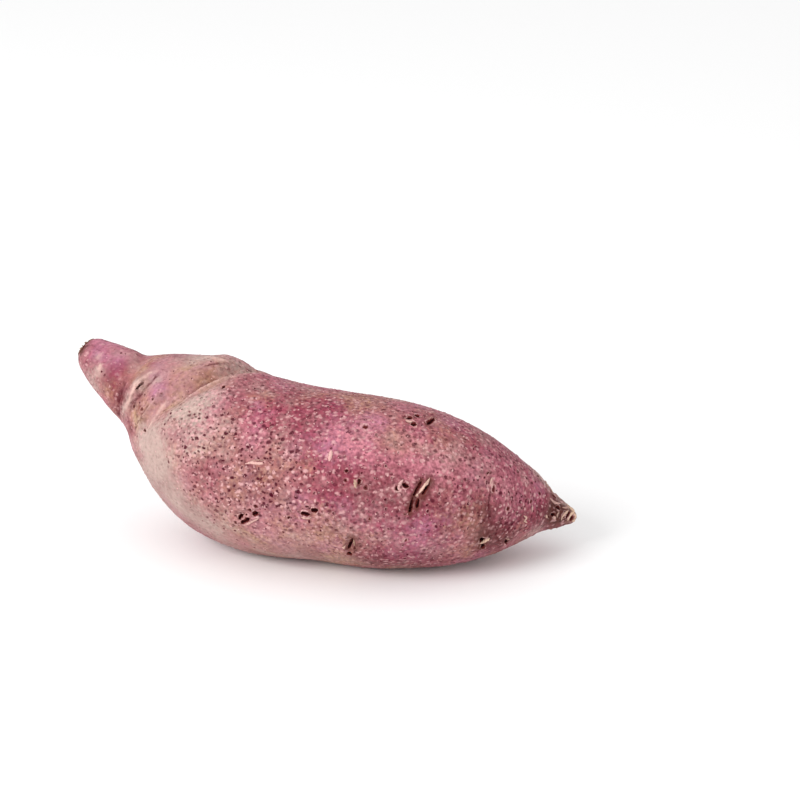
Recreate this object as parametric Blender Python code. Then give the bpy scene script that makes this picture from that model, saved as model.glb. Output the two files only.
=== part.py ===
"""Sweet potato: one whole purple-skinned storage root, lying on its belly.

The root is one grown piece. A bent spine runs from the broken neck, where the root hung
on its vine, through the swollen body to the root tip. Oval sections stand round that
spine, and what the skin shows from a step away is raised from the same surface: the
folds of the bent neck, the furrow behind its shoulder, the crease before the tip, the
scars of side roots, and the stubs that are left where the tip's own roots tore off.

Axes: +X from the neck to the root tip, +Y to the back, +Z up. The origin is the middle
of the root's footprint, on the surface that the root lies on.
"""

import math

import bmesh
import bpy
import numpy as np
from mathutils import Vector, noise

MM = 0.001
NAME = "sweet_potato"

# Sections along the spine, from the neck to the root tip: the centre's x, y and z, and
# the half width and half height there, in millimetres. Between them the form is smooth.
SECTIONS = (
    (-88.9, 47.5, 65.0, 4.6, 4.6),
    (-80.9, 43.5, 58.9, 8.6, 8.6),
    (-70.7, 38.5, 53.8, 11.0, 11.1),
    (-61.4, 34.0, 48.9, 16.1, 15.8),
    (-52.0, 29.0, 42.6, 23.2, 23.2),
    (-39.0, 22.5, 35.2, 30.2, 30.2),
    (-20.5, 14.5, 31.0, 32.0, 31.0),
    (2.5, 6.5, 30.0, 31.0, 29.8),
    (25.4, 1.5, 28.2, 30.3, 28.8),
    (49.0, 3.0, 23.8, 24.0, 23.2),
    (68.5, 8.0, 18.3, 13.7, 13.5),
    (78.5, 9.8, 15.0, 6.3, 6.2),
    (88.0, 11.0, 12.4, 1.8, 1.8),
)

# The ends: the length over which each rounds off, and the dent in the neck's broken face.
NECK_CAP = 5.0
NECK_DENT = 1.6
TIP_CAP = 2.5

# Low swellings of the whole form: place, reach along and round the root, and height. A
# place is millimetres along the spine and a turn in degrees, 0 on top and 90 in front.
SWELLINGS = (
    ((46, -24.0), 13.0, 15.0, 5.6),
    ((33, -25.0), 8.0, 9.0, 1.2),
    ((22, 122.0), 8.0, 9.0, 1.9),
    ((59, 132.0), 12.0, 14.0, -2.2),
    ((63.8, 62.0), 14.0, 16.0, 1.0),
    ((144.8, 5.0), 18.0, 14.0, 1.4),
    ((105.8, -100.0), 26.0, 16.0, 1.5),
    ((91.8, -163.0), 30.0, 18.0, 1.0),
)

# Folds, furrows and ridges over the skin: the path, how far it is raised (negative is
# pressed in), and its half widths to the right and to the left of the way it runs. Each
# fades in and out over this share of its run.
FADE = 0.33
STROKES = (
    (((21, -60), (22, -25), (23.5, -5), (25.4, 35), (26, 75), (26.6, 108), (27.6, 132)), -2.0, 1.4, 2.6),
    (((35, -6), (32.5, 22), (29.9, 44), (29.2, 68), (29.2, 92), (30, 128)), 1.5, 1.5, 1.5),
    (((39, 2), (35.5, 29), (34, 50), (33.3, 79), (33.2, 110)), -1.3, 1.7, 1.7),
    (((43, 18), (39.6, 48), (38.8, 75), (39, 108)), 1.2, 2.2, 2.0),
    (((43.5, 132), (43, 95), (43.4, 72), (45.6, 52), (49, 32), (52.4, 13), (57, -2), (63.8, -14),
      (73.8, -24), (85.8, -32)), -3.8, 2.8, 5.5),
    (((48, 110), (48.4, 80), (51, 55), (55.5, 32), (60, 12), (66.8, -3), (77.8, -16)), 1.1, 9.0, 2.6),
    (((46, -12), (52, -22), (59, -30), (65.8, -38)), -0.8, 1.6, 2.2),
    (((154.8, 22), (156, 46), (157.1, 58), (157, 69), (157.5, 82), (158.4, 92), (159.8, 103),
      (161.8, 122)), -0.8, 1.8, 1.8),
    (((157.8, 30), (159.2, 50), (160, 66), (160.6, 88)), 0.35, 1.5, 1.5),
)

# Scars of side roots: place, length, width, lean from the spine's direction towards
# increasing turn in degrees, depth, and the height of the lip round it. The lip's crest
# and spread are shares of the scar's half width.
LIP_CREST = 1.55
LIP_SPREAD = 0.5
SCARS = (
    ((136.4, 71), 11.5, 2.3, 104, 1.5, 0.8),
    ((121.8, 113), 7.5, 2.2, 98, 1.1, 0.5),
    ((158.2, 110), 4.6, 2.4, 70, 1.1, 0.6),
    ((166.8, 116), 3.0, 1.8, 60, 0.8, 0.4),
    ((88.4, 101), 8.0, 3.6, -28, 0.9, 0.3),
    ((109.4, 90), 6.0, 2.6, -20, 0.8, 0.3),
    ((121.8, 68), 4.6, 1.8, 95, 0.5, 0.4),
    ((132.2, 66), 3.6, 2.4, 20, 0.5, 0.3),
    ((137.4, 9), 4.6, 1.8, 110, 0.8, 0.4),
    ((31.6, 59), 3.4, 1.5, 50, 0.8, 0.4),
    ((72.8, -84), 7.0, 2.2, 85, 1.0, 0.5),
    ((102.8, -52), 5.5, 2.2, 100, 0.9, 0.4),
    ((128.8, -76), 8.5, 2.2, 78, 1.2, 0.6),
    ((93.8, -128), 6.5, 2.4, 65, 0.9, 0.4),
    ((151.8, -98), 5.0, 2.2, 95, 0.9, 0.5),
)

# Stubs of the torn roots at the root tip: the path, the height and the half width.
STUBS = (
    ((181.8, 28), (190.8, 36), 0.7, 0.8),
    ((184.8, 62), (193.8, 58), 0.9, 0.8),
    ((182.8, 96), (192.8, 88), 0.8, 0.8),
    ((185.8, 140), (193.8, 128), 0.8, 0.7),
    ((182.8, -160), (192.8, -168), 0.7, 0.8),
    ((184.8, -104), (193.8, -112), 0.9, 0.8),
    ((181.8, -62), (192.8, -56), 0.8, 0.8),
    ((185.8, -14), (193.8, -8), 0.8, 0.7),
)

# Slow unevenness of the grown form: its height, its size, and how far from the neck's end
# and the root tip it reaches its full height.
UNEVEN = 0.55
UNEVEN_SIZE = 17.0
UNEVEN_ENDS = (40.0, 30.0)

# How much of the lowest belly is flat, as a depth taken off it.
SETTLED = 0.7

# Mesh: segments round the root and rings along it, which crowd towards the ends. Faces
# within the first reach of a scar are split once and within the second reach twice, and
# those in strokes of this depth once.
AROUND = 48
ALONG = 82
RING_CROWDING = 0.75
FINE_REACHES = (2.4, 0.9)
FINE_DEPTH = 2.0

SKIN_COLOUR = (0.43, 0.17, 0.24, 1.0)
SKIN_ROUGHNESS = 0.55


def through(knots, where):
    """A smooth curve through the rows of knots, read at fractional row numbers."""
    knots = np.asarray(knots, float)
    slopes = np.gradient(knots, axis=0)
    row = np.clip(np.floor(where).astype(int), 0, len(knots) - 2)
    t = (where - row)[:, None]
    return (
        knots[row] * (2 * t**3 - 3 * t**2 + 1)
        + slopes[row] * (t**3 - 2 * t**2 + t)
        + knots[row + 1] * (3 * t**2 - 2 * t**3)
        + slopes[row + 1] * (t**3 - t**2)
    )


def unit(vectors):
    """The vectors at length one."""
    return vectors / np.linalg.norm(vectors, axis=1)[:, None]


class Spine:
    """The root's spine: centre, oval and directions at any distance from the neck's end."""

    def __init__(self, samples=600):
        self.rows = np.linspace(0, len(SECTIONS) - 1, samples)
        centres = through(SECTIONS, self.rows)[:, :3]
        steps = np.linalg.norm(np.diff(centres, axis=0), axis=1)
        self.run = np.concatenate([[0], np.cumsum(steps)])
        self.length = self.run[-1]

    def at(self, along):
        """Centre, half width, half height, and the unit vectors up and to the front."""
        section = through(SECTIONS, np.interp(along, self.run, self.rows))
        ahead = through(SECTIONS, np.interp(along + 1.0, self.run, self.rows))[:, :3]
        behind = through(SECTIONS, np.interp(along - 1.0, self.run, self.rows))[:, :3]
        tangent = unit(ahead - behind)
        front = unit(np.cross(tangent, (0, 0, 1)))
        return section[:, :3], section[:, 3], section[:, 4], np.cross(front, tangent), front


def cap(run, length):
    """Share of the full radius near an end: a quarter ellipse of this length."""
    share = np.clip(run / length, 0, 1)
    return np.sqrt(1 - (1 - share) ** 2)


def smooth_root(spine, along, turn):
    """Points on the smooth root and the way out of it. turn is 0 on top, 90 degrees in front."""
    centre, half_width, half_height, up, front = spine.at(along)
    round_off = cap(along, NECK_CAP) * cap(spine.length - along, TIP_CAP)
    dent = NECK_DENT * (1 - cap(along, NECK_CAP)) ** 1.2
    centre = centre + np.cross(up, front) * dent[:, None]
    outward = (
        up * (half_height * np.cos(turn))[:, None]
        + front * (half_width * np.sin(turn))[:, None]
    )
    out = (
        up * (np.cos(turn) / half_height)[:, None]
        + front * (np.sin(turn) / half_width)[:, None]
    )
    return centre + outward * round_off[:, None], unit(out)


def place(spine, path, samples=1):
    """Points on the smooth root along a path of (distance, turn in degrees) pairs."""
    path = np.asarray(path, float)
    where = np.linspace(0, len(path) - 1, samples) if samples > 1 else np.zeros(1)
    corner = np.arange(len(path))
    along = np.interp(where, corner, path[:, 0])
    turn = np.radians(np.interp(where, corner, path[:, 1]))
    return smooth_root(spine, along, turn)


def stroke(spine, points, path, right, left, samples=160):
    """A ridge of height 1 along a path, fading at both ends."""
    line, out = place(spine, path, samples)
    gap = np.linalg.norm(points[:, None] - line[None], axis=2)
    near = gap.argmin(axis=1)
    distance = gap.min(axis=1)
    ahead = np.gradient(line, axis=0)
    side = np.einsum("ij,ij->i", np.cross(ahead[near], points - line[near]), out[near])
    width = np.where(side > 0, left, right)
    run = near / (samples - 1)
    fade = np.clip(np.minimum(run, 1 - run) / FADE, 0, 1)
    return np.exp(-((distance / width) ** 2)) * fade * fade * (3 - 2 * fade)


def scar_frame(spine, spot, lean):
    """A scar's middle and its two directions on the skin: lengthwise and across."""
    along, turn = spot
    ring = ((along, turn), (along + 0.5, turn), (along, turn + 1.0))
    middle, ahead, aside = (place(spine, (point,))[0][0] for point in ring)
    ahead = (ahead - middle) / np.linalg.norm(ahead - middle)
    aside = (aside - middle) / np.linalg.norm(aside - middle)
    angle = math.radians(lean)
    return (
        middle,
        ahead * math.cos(angle) + aside * math.sin(angle),
        aside * math.cos(angle) - ahead * math.sin(angle),
    )


def scar(spine, points, spot, length, width, lean, depth, lip):
    """A split in the skin with a raised lip round it."""
    middle, lengthwise, across = scar_frame(spine, spot, lean)
    offset = points - middle
    reach = np.hypot(offset @ lengthwise / (length / 2), offset @ across / (width / 2))
    reach = np.hypot(reach, np.linalg.norm(offset, axis=1) / (2.5 * length))
    crest = np.exp(-(((reach - LIP_CREST) / LIP_SPREAD) ** 2))
    return lip * crest - depth * np.exp(-(reach**2))


def relief(spine, along, turn, points):
    """How far the skin stands out from the smooth root, in millimetres."""
    height = np.zeros(len(points))
    for (spot_along, spot_turn), reach_along, reach_round, rise in SWELLINGS:
        radius = spine.at(np.array([spot_along]))[1][0]
        swing = np.angle(np.exp(1j * (turn - math.radians(spot_turn)))) * radius
        height += rise * np.exp(
            -(((along - spot_along) / reach_along) ** 2) - (swing / reach_round) ** 2
        )
    for path, rise, right, left in STROKES:
        height += rise * stroke(spine, points, path, right, left)
    for spot, length, width, lean, depth, lip in SCARS:
        height += scar(spine, points, spot, length, width, lean, depth, lip)
    for start, end, rise, width in STUBS:
        height += rise * stroke(spine, points, (start, end), width, width, 24)
    uneven = np.array([noise.noise(Vector(point / UNEVEN_SIZE)) for point in points])
    calm = cap(along, UNEVEN_ENDS[0]) * cap(spine.length - along, UNEVEN_ENDS[1])
    return height + UNEVEN * uneven * calm


def where_on_root(spine, made):
    """Distance along the spine and turn of each vertex of the UV sphere."""
    co = np.array([v.co.normalized() for v in made.verts])
    share = np.arccos(np.clip(-co[:, 2], -1, 1)) / math.pi
    crowded = (1 - np.cos(math.pi * share)) / 2
    along = spine.length * (RING_CROWDING * crowded + (1 - RING_CROWDING) * share)
    return along, np.arctan2(co[:, 1], co[:, 0])


def put_in_order(made):
    """Number the edges and faces by their vertices, so that each build is the same."""
    made.verts.index_update()
    count = len(made.verts)

    def rank(item):
        """One number from the lowest vertices of an edge or a face."""
        lowest = sorted(vertex.index for vertex in item.verts)[:3]
        return sum(index * count**power for power, index in enumerate(lowest))

    made.edges.sort(key=rank)
    made.faces.sort(key=rank)
    made.edges.index_update()


def split_near_relief(spine, made, reach, deep_strokes):
    """Split the faces within reach of a scar, and those in the given strokes."""
    points = smooth_root(spine, *where_on_root(spine, made))[0]
    fine = np.zeros(len(points), bool)
    for spot, length, width, lean, _, _ in SCARS:
        middle, lengthwise, across = scar_frame(spine, spot, lean)
        offset = points - middle
        share = np.hypot(
            offset @ lengthwise / (length / 2 + reach),
            offset @ across / (width / 2 + reach),
        )
        fine |= (share < 1) & (np.linalg.norm(offset, axis=1) < length)
    for path, _, right, left in deep_strokes:
        fine |= stroke(spine, points, path, right, left) > 0.05
    near = [v for v, chosen in zip(made.verts, fine) if chosen]
    edges = {edge for v in near for face in v.link_faces for edge in face.edges}
    edges = sorted(edges, key=lambda edge: edge.index)
    bmesh.ops.subdivide_edges(made, edges=edges, cuts=1, use_grid_fill=True)
    bmesh.ops.triangulate(made, faces=[face for face in made.faces if len(face.verts) > 4])
    put_in_order(made)


def make_grid(spine):
    """A UV sphere with finer faces at the scars and in the deep strokes."""
    made = bmesh.new()
    bmesh.ops.create_uvsphere(made, u_segments=AROUND, v_segments=ALONG, radius=1)
    put_in_order(made)
    deep = [line for line in STROKES if -line[1] > FINE_DEPTH]
    split_near_relief(spine, made, FINE_REACHES[0], deep)
    split_near_relief(spine, made, FINE_REACHES[1], [])
    return made


def build():
    """The root's mesh object, its footprint centred on the origin."""
    spine = Spine()
    made = make_grid(spine)
    along, turn = where_on_root(spine, made)
    points, out = smooth_root(spine, along, turn)
    points = points + out * relief(spine, along, turn, points)[:, None]
    points[:, 2] = np.maximum(points[:, 2] - SETTLED, 0)
    points[:, :2] -= (points[:, :2].min(axis=0) + points[:, :2].max(axis=0)) / 2
    for vertex, point in zip(made.verts, points * MM):
        vertex.co = point
    mesh = bpy.data.meshes.new(NAME)
    made.to_mesh(mesh)
    made.free()
    mesh.shade_smooth()
    return bpy.data.objects.new(NAME, mesh)


def skin_material():
    """The skin: dull mauve with a faint sheen."""
    material = bpy.data.materials.new("purple_skin")
    material.use_nodes = True
    shader = material.node_tree.nodes["Principled BSDF"]
    shader.inputs["Base Color"].default_value = SKIN_COLOUR
    shader.inputs["Roughness"].default_value = SKIN_ROUGHNESS
    shader.inputs["Metallic"].default_value = 0.0
    return material


def main():
    for old in list(bpy.data.objects):
        bpy.data.objects.remove(old)
    parts = bpy.data.collections.new(NAME)
    bpy.context.scene.collection.children.link(parts)
    root = build()
    root.data.materials.append(skin_material())
    parts.objects.link(root)


if __name__ == "__main__":
    main()
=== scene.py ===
import math
import random

import bmesh
import bpy
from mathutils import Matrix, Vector
from mathutils.bvhtree import BVHTree


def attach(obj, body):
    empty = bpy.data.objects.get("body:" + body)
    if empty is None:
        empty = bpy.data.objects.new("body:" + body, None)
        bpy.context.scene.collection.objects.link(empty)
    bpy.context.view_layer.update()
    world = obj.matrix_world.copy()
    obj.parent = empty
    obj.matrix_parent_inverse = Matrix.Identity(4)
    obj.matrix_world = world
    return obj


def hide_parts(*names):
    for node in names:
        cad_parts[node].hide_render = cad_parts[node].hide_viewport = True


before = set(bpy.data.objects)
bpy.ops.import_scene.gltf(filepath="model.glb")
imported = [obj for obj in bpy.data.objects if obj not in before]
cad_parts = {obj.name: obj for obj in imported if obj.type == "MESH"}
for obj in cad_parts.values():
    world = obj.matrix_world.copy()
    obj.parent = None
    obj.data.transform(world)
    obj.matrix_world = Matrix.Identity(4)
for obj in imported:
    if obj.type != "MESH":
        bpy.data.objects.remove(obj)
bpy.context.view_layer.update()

# Camera. It stands where the photograph was taken from: 20 degrees above the table, square to the
# root's length, about 0.85 m away with a long lens. It comes first because the marks on the front
# of the root are placed by the pixel at which they show in its 800 px frame.
MM = 0.001
FRAME_SIDE = 800
LENS = 108.2
SENSOR = 36.0
CAMERA_PLACE = (26.57 * MM, -784.36 * MM, 341.3 * MM)
CAMERA_TILT = math.radians(70)

view = bpy.data.cameras.new("camera")
view.lens = LENS
view.sensor_width = SENSOR
view.clip_start = 0.01
view.clip_end = 20
camera = bpy.data.objects.new("camera", view)
camera.location = CAMERA_PLACE
camera.rotation_euler = (CAMERA_TILT, 0, 0)
bpy.context.scene.collection.objects.link(camera)
bpy.context.scene.camera = camera
bpy.context.view_layer.update()

# Skin of the root. A sweet potato's skin is a thin dry cork over firm flesh, grown in one piece:
# mauve to magenta, tan where the cork is older, folded at the neck, and scarred where rootlets
# grew and where it was knocked. It follows the CAD root, with the folds and scars cut finer.
root_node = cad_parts["sweet_potato"]
root_body = BVHTree.FromPolygons(
    [v.co for v in root_node.data.vertices], [p.vertices for p in root_node.data.polygons]
)
EDGE_STEPS = 8
SLICE = 4 * MM
FAR = 0.2
slices = {}
for vertex in root_node.data.vertices:
    slices.setdefault(round(vertex.co.x / SLICE), []).append(vertex.co)
middles = {slot: sum(places, Vector()) / len(places) for slot, places in slices.items()}


def seen_at(px, py):
    """The place on the root that shows at a pixel, and the way out of the skin there."""
    across = SENSOR / LENS / FRAME_SIDE
    sight = Vector(((px - FRAME_SIDE / 2) * across, (FRAME_SIDE / 2 - py) * across, -1))
    sight = (camera.matrix_world.to_3x3() @ sight).normalized()
    eye = Vector(CAMERA_PLACE)
    place, outward, _, _ = root_body.ray_cast(eye, sight)
    if place is None:
        # A pixel just off the edge takes the skin that its line of sight passes closest.
        passing = eye + sight * eye.length
        for _ in range(EDGE_STEPS):
            place, outward, _, _ = root_body.find_nearest(passing)
            passing = eye + sight * (place - eye).dot(sight)
    return place, outward


def turned_to(x, turn):
    """The place on the skin x mm along the root at a turn about it: 0 top, 90 front, 180 below."""
    slot = min(math.floor(x * MM / SLICE), max(middles) - 1)
    middle = middles[slot].lerp(middles[slot + 1], x * MM / SLICE - slot)
    out = Vector((0, -math.sin(math.radians(turn)), math.cos(math.radians(turn))))
    place, outward, _, _ = root_body.ray_cast(middle + out * FAR, -out)
    return place, outward


def walk(find, path, step):
    """Places and outward ways along a path of the skin, a short step apart."""
    if len(path) == 1:
        return [find(*path[0])]
    found = []
    for start, end in zip(path, path[1:]):
        near, _ = find(*start)
        far, _ = find(*end)
        count = max(2, round((far - near).length / step))
        for i in range(count):
            share = i / count
            found.append(find(*(a + (b - a) * share for a, b in zip(start, end))))
    found.append(find(*path[-1]))
    return found


def add(tree, kind, inputs=(), **settings):
    """Adds a node with its settings; inputs are values or other nodes, by name or in order."""
    made = tree.nodes.new(kind)
    for name, value in settings.items():
        setattr(made, name, value)
    pairs = inputs.items() if isinstance(inputs, dict) else enumerate(inputs)
    for place, value in pairs:
        if isinstance(place, str):
            socket = next(s for s in made.inputs if s.name == place and s.enabled)
        else:
            socket = made.inputs[place]
        if isinstance(value, bpy.types.Node):
            value = next(s for s in value.outputs if s.enabled)
        if isinstance(value, bpy.types.NodeSocket):
            tree.links.new(value, socket)
        else:
            socket.default_value = value
    return made


def new_tree(name, sizes, objects=()):
    """A Geometry Nodes tree with its named inputs, and the node that they come out of."""
    tree = bpy.data.node_groups.new(name, "GeometryNodeTree")
    face = tree.interface
    face.new_socket("Geometry", in_out="INPUT", socket_type="NodeSocketGeometry")
    for label in objects:
        face.new_socket(label, in_out="INPUT", socket_type="NodeSocketObject")
    for label, value in sizes.items():
        socket = face.new_socket(label, in_out="INPUT", socket_type="NodeSocketFloat")
        socket.default_value = value
    face.new_socket("Geometry", in_out="OUTPUT", socket_type="NodeSocketGeometry")
    return tree, tree.nodes.new("NodeGroupInput").outputs


def end_tree(tree, geometry, material):
    """Ends a tree in plain geometry with its material."""
    real = add(tree, "GeometryNodeRealizeInstances", {"Geometry": geometry})
    dressed = add(tree, "GeometryNodeSetMaterial", {"Geometry": real, "Material": material})
    add(tree, "NodeGroupOutput", [dressed])


def grow(piece, tree, values):
    """Runs a tree on a piece, with its inputs set, and leaves the result as a plain mesh."""
    growth = piece.modifiers.new("growth", "NODES")
    growth.node_group = tree
    for socket in tree.interface.items_tree:
        if socket.in_out == "INPUT" and socket.name in values:
            growth[socket.identifier] = values[socket.name]
    bpy.context.scene.collection.objects.link(piece)
    ready = bpy.context.evaluated_depsgraph_get()
    mesh = bpy.data.meshes.new_from_object(
        piece.evaluated_get(ready), preserve_all_data_layers=True, depsgraph=ready
    )
    piece.modifiers.clear()
    piece.data = mesh
    mesh.name = piece.name
    mesh.polygons.foreach_set("use_smooth", [True] * len(mesh.polygons))


def spots(name, rows, edges=()):
    """Points that a tree reads, loose or in runs: each row has a place and numbers by name."""
    mesh = bpy.data.meshes.new(name)
    mesh.from_pydata([row["place"] for row in rows], edges, [])
    for label, value in rows[0].items():
        if label == "place":
            continue
        kind = "FLOAT_VECTOR" if isinstance(value, Vector) else "FLOAT"
        layer = mesh.attributes.new(label, kind, "POINT")
        if kind == "FLOAT":
            layer.data.foreach_set("value", [row[label] for row in rows])
        else:
            layer.data.foreach_set("vector", [c for row in rows for c in row[label]])
    return bpy.data.objects.new(name, mesh)


def linear(hex_colour):
    """An sRGB hex colour as the linear colour that a socket takes."""
    parts = [int(hex_colour[i : i + 2], 16) / 255 for i in (1, 3, 5)]
    return (*(c / 12.92 if c < 0.04045 else ((c + 0.055) / 1.055) ** 2.4 for c in parts), 1)


def each(table):
    """The rows of a table that is kept by how its places are found, each with that way first."""
    return [(find, *row) for find, rows in table.items() for row in rows]


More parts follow.
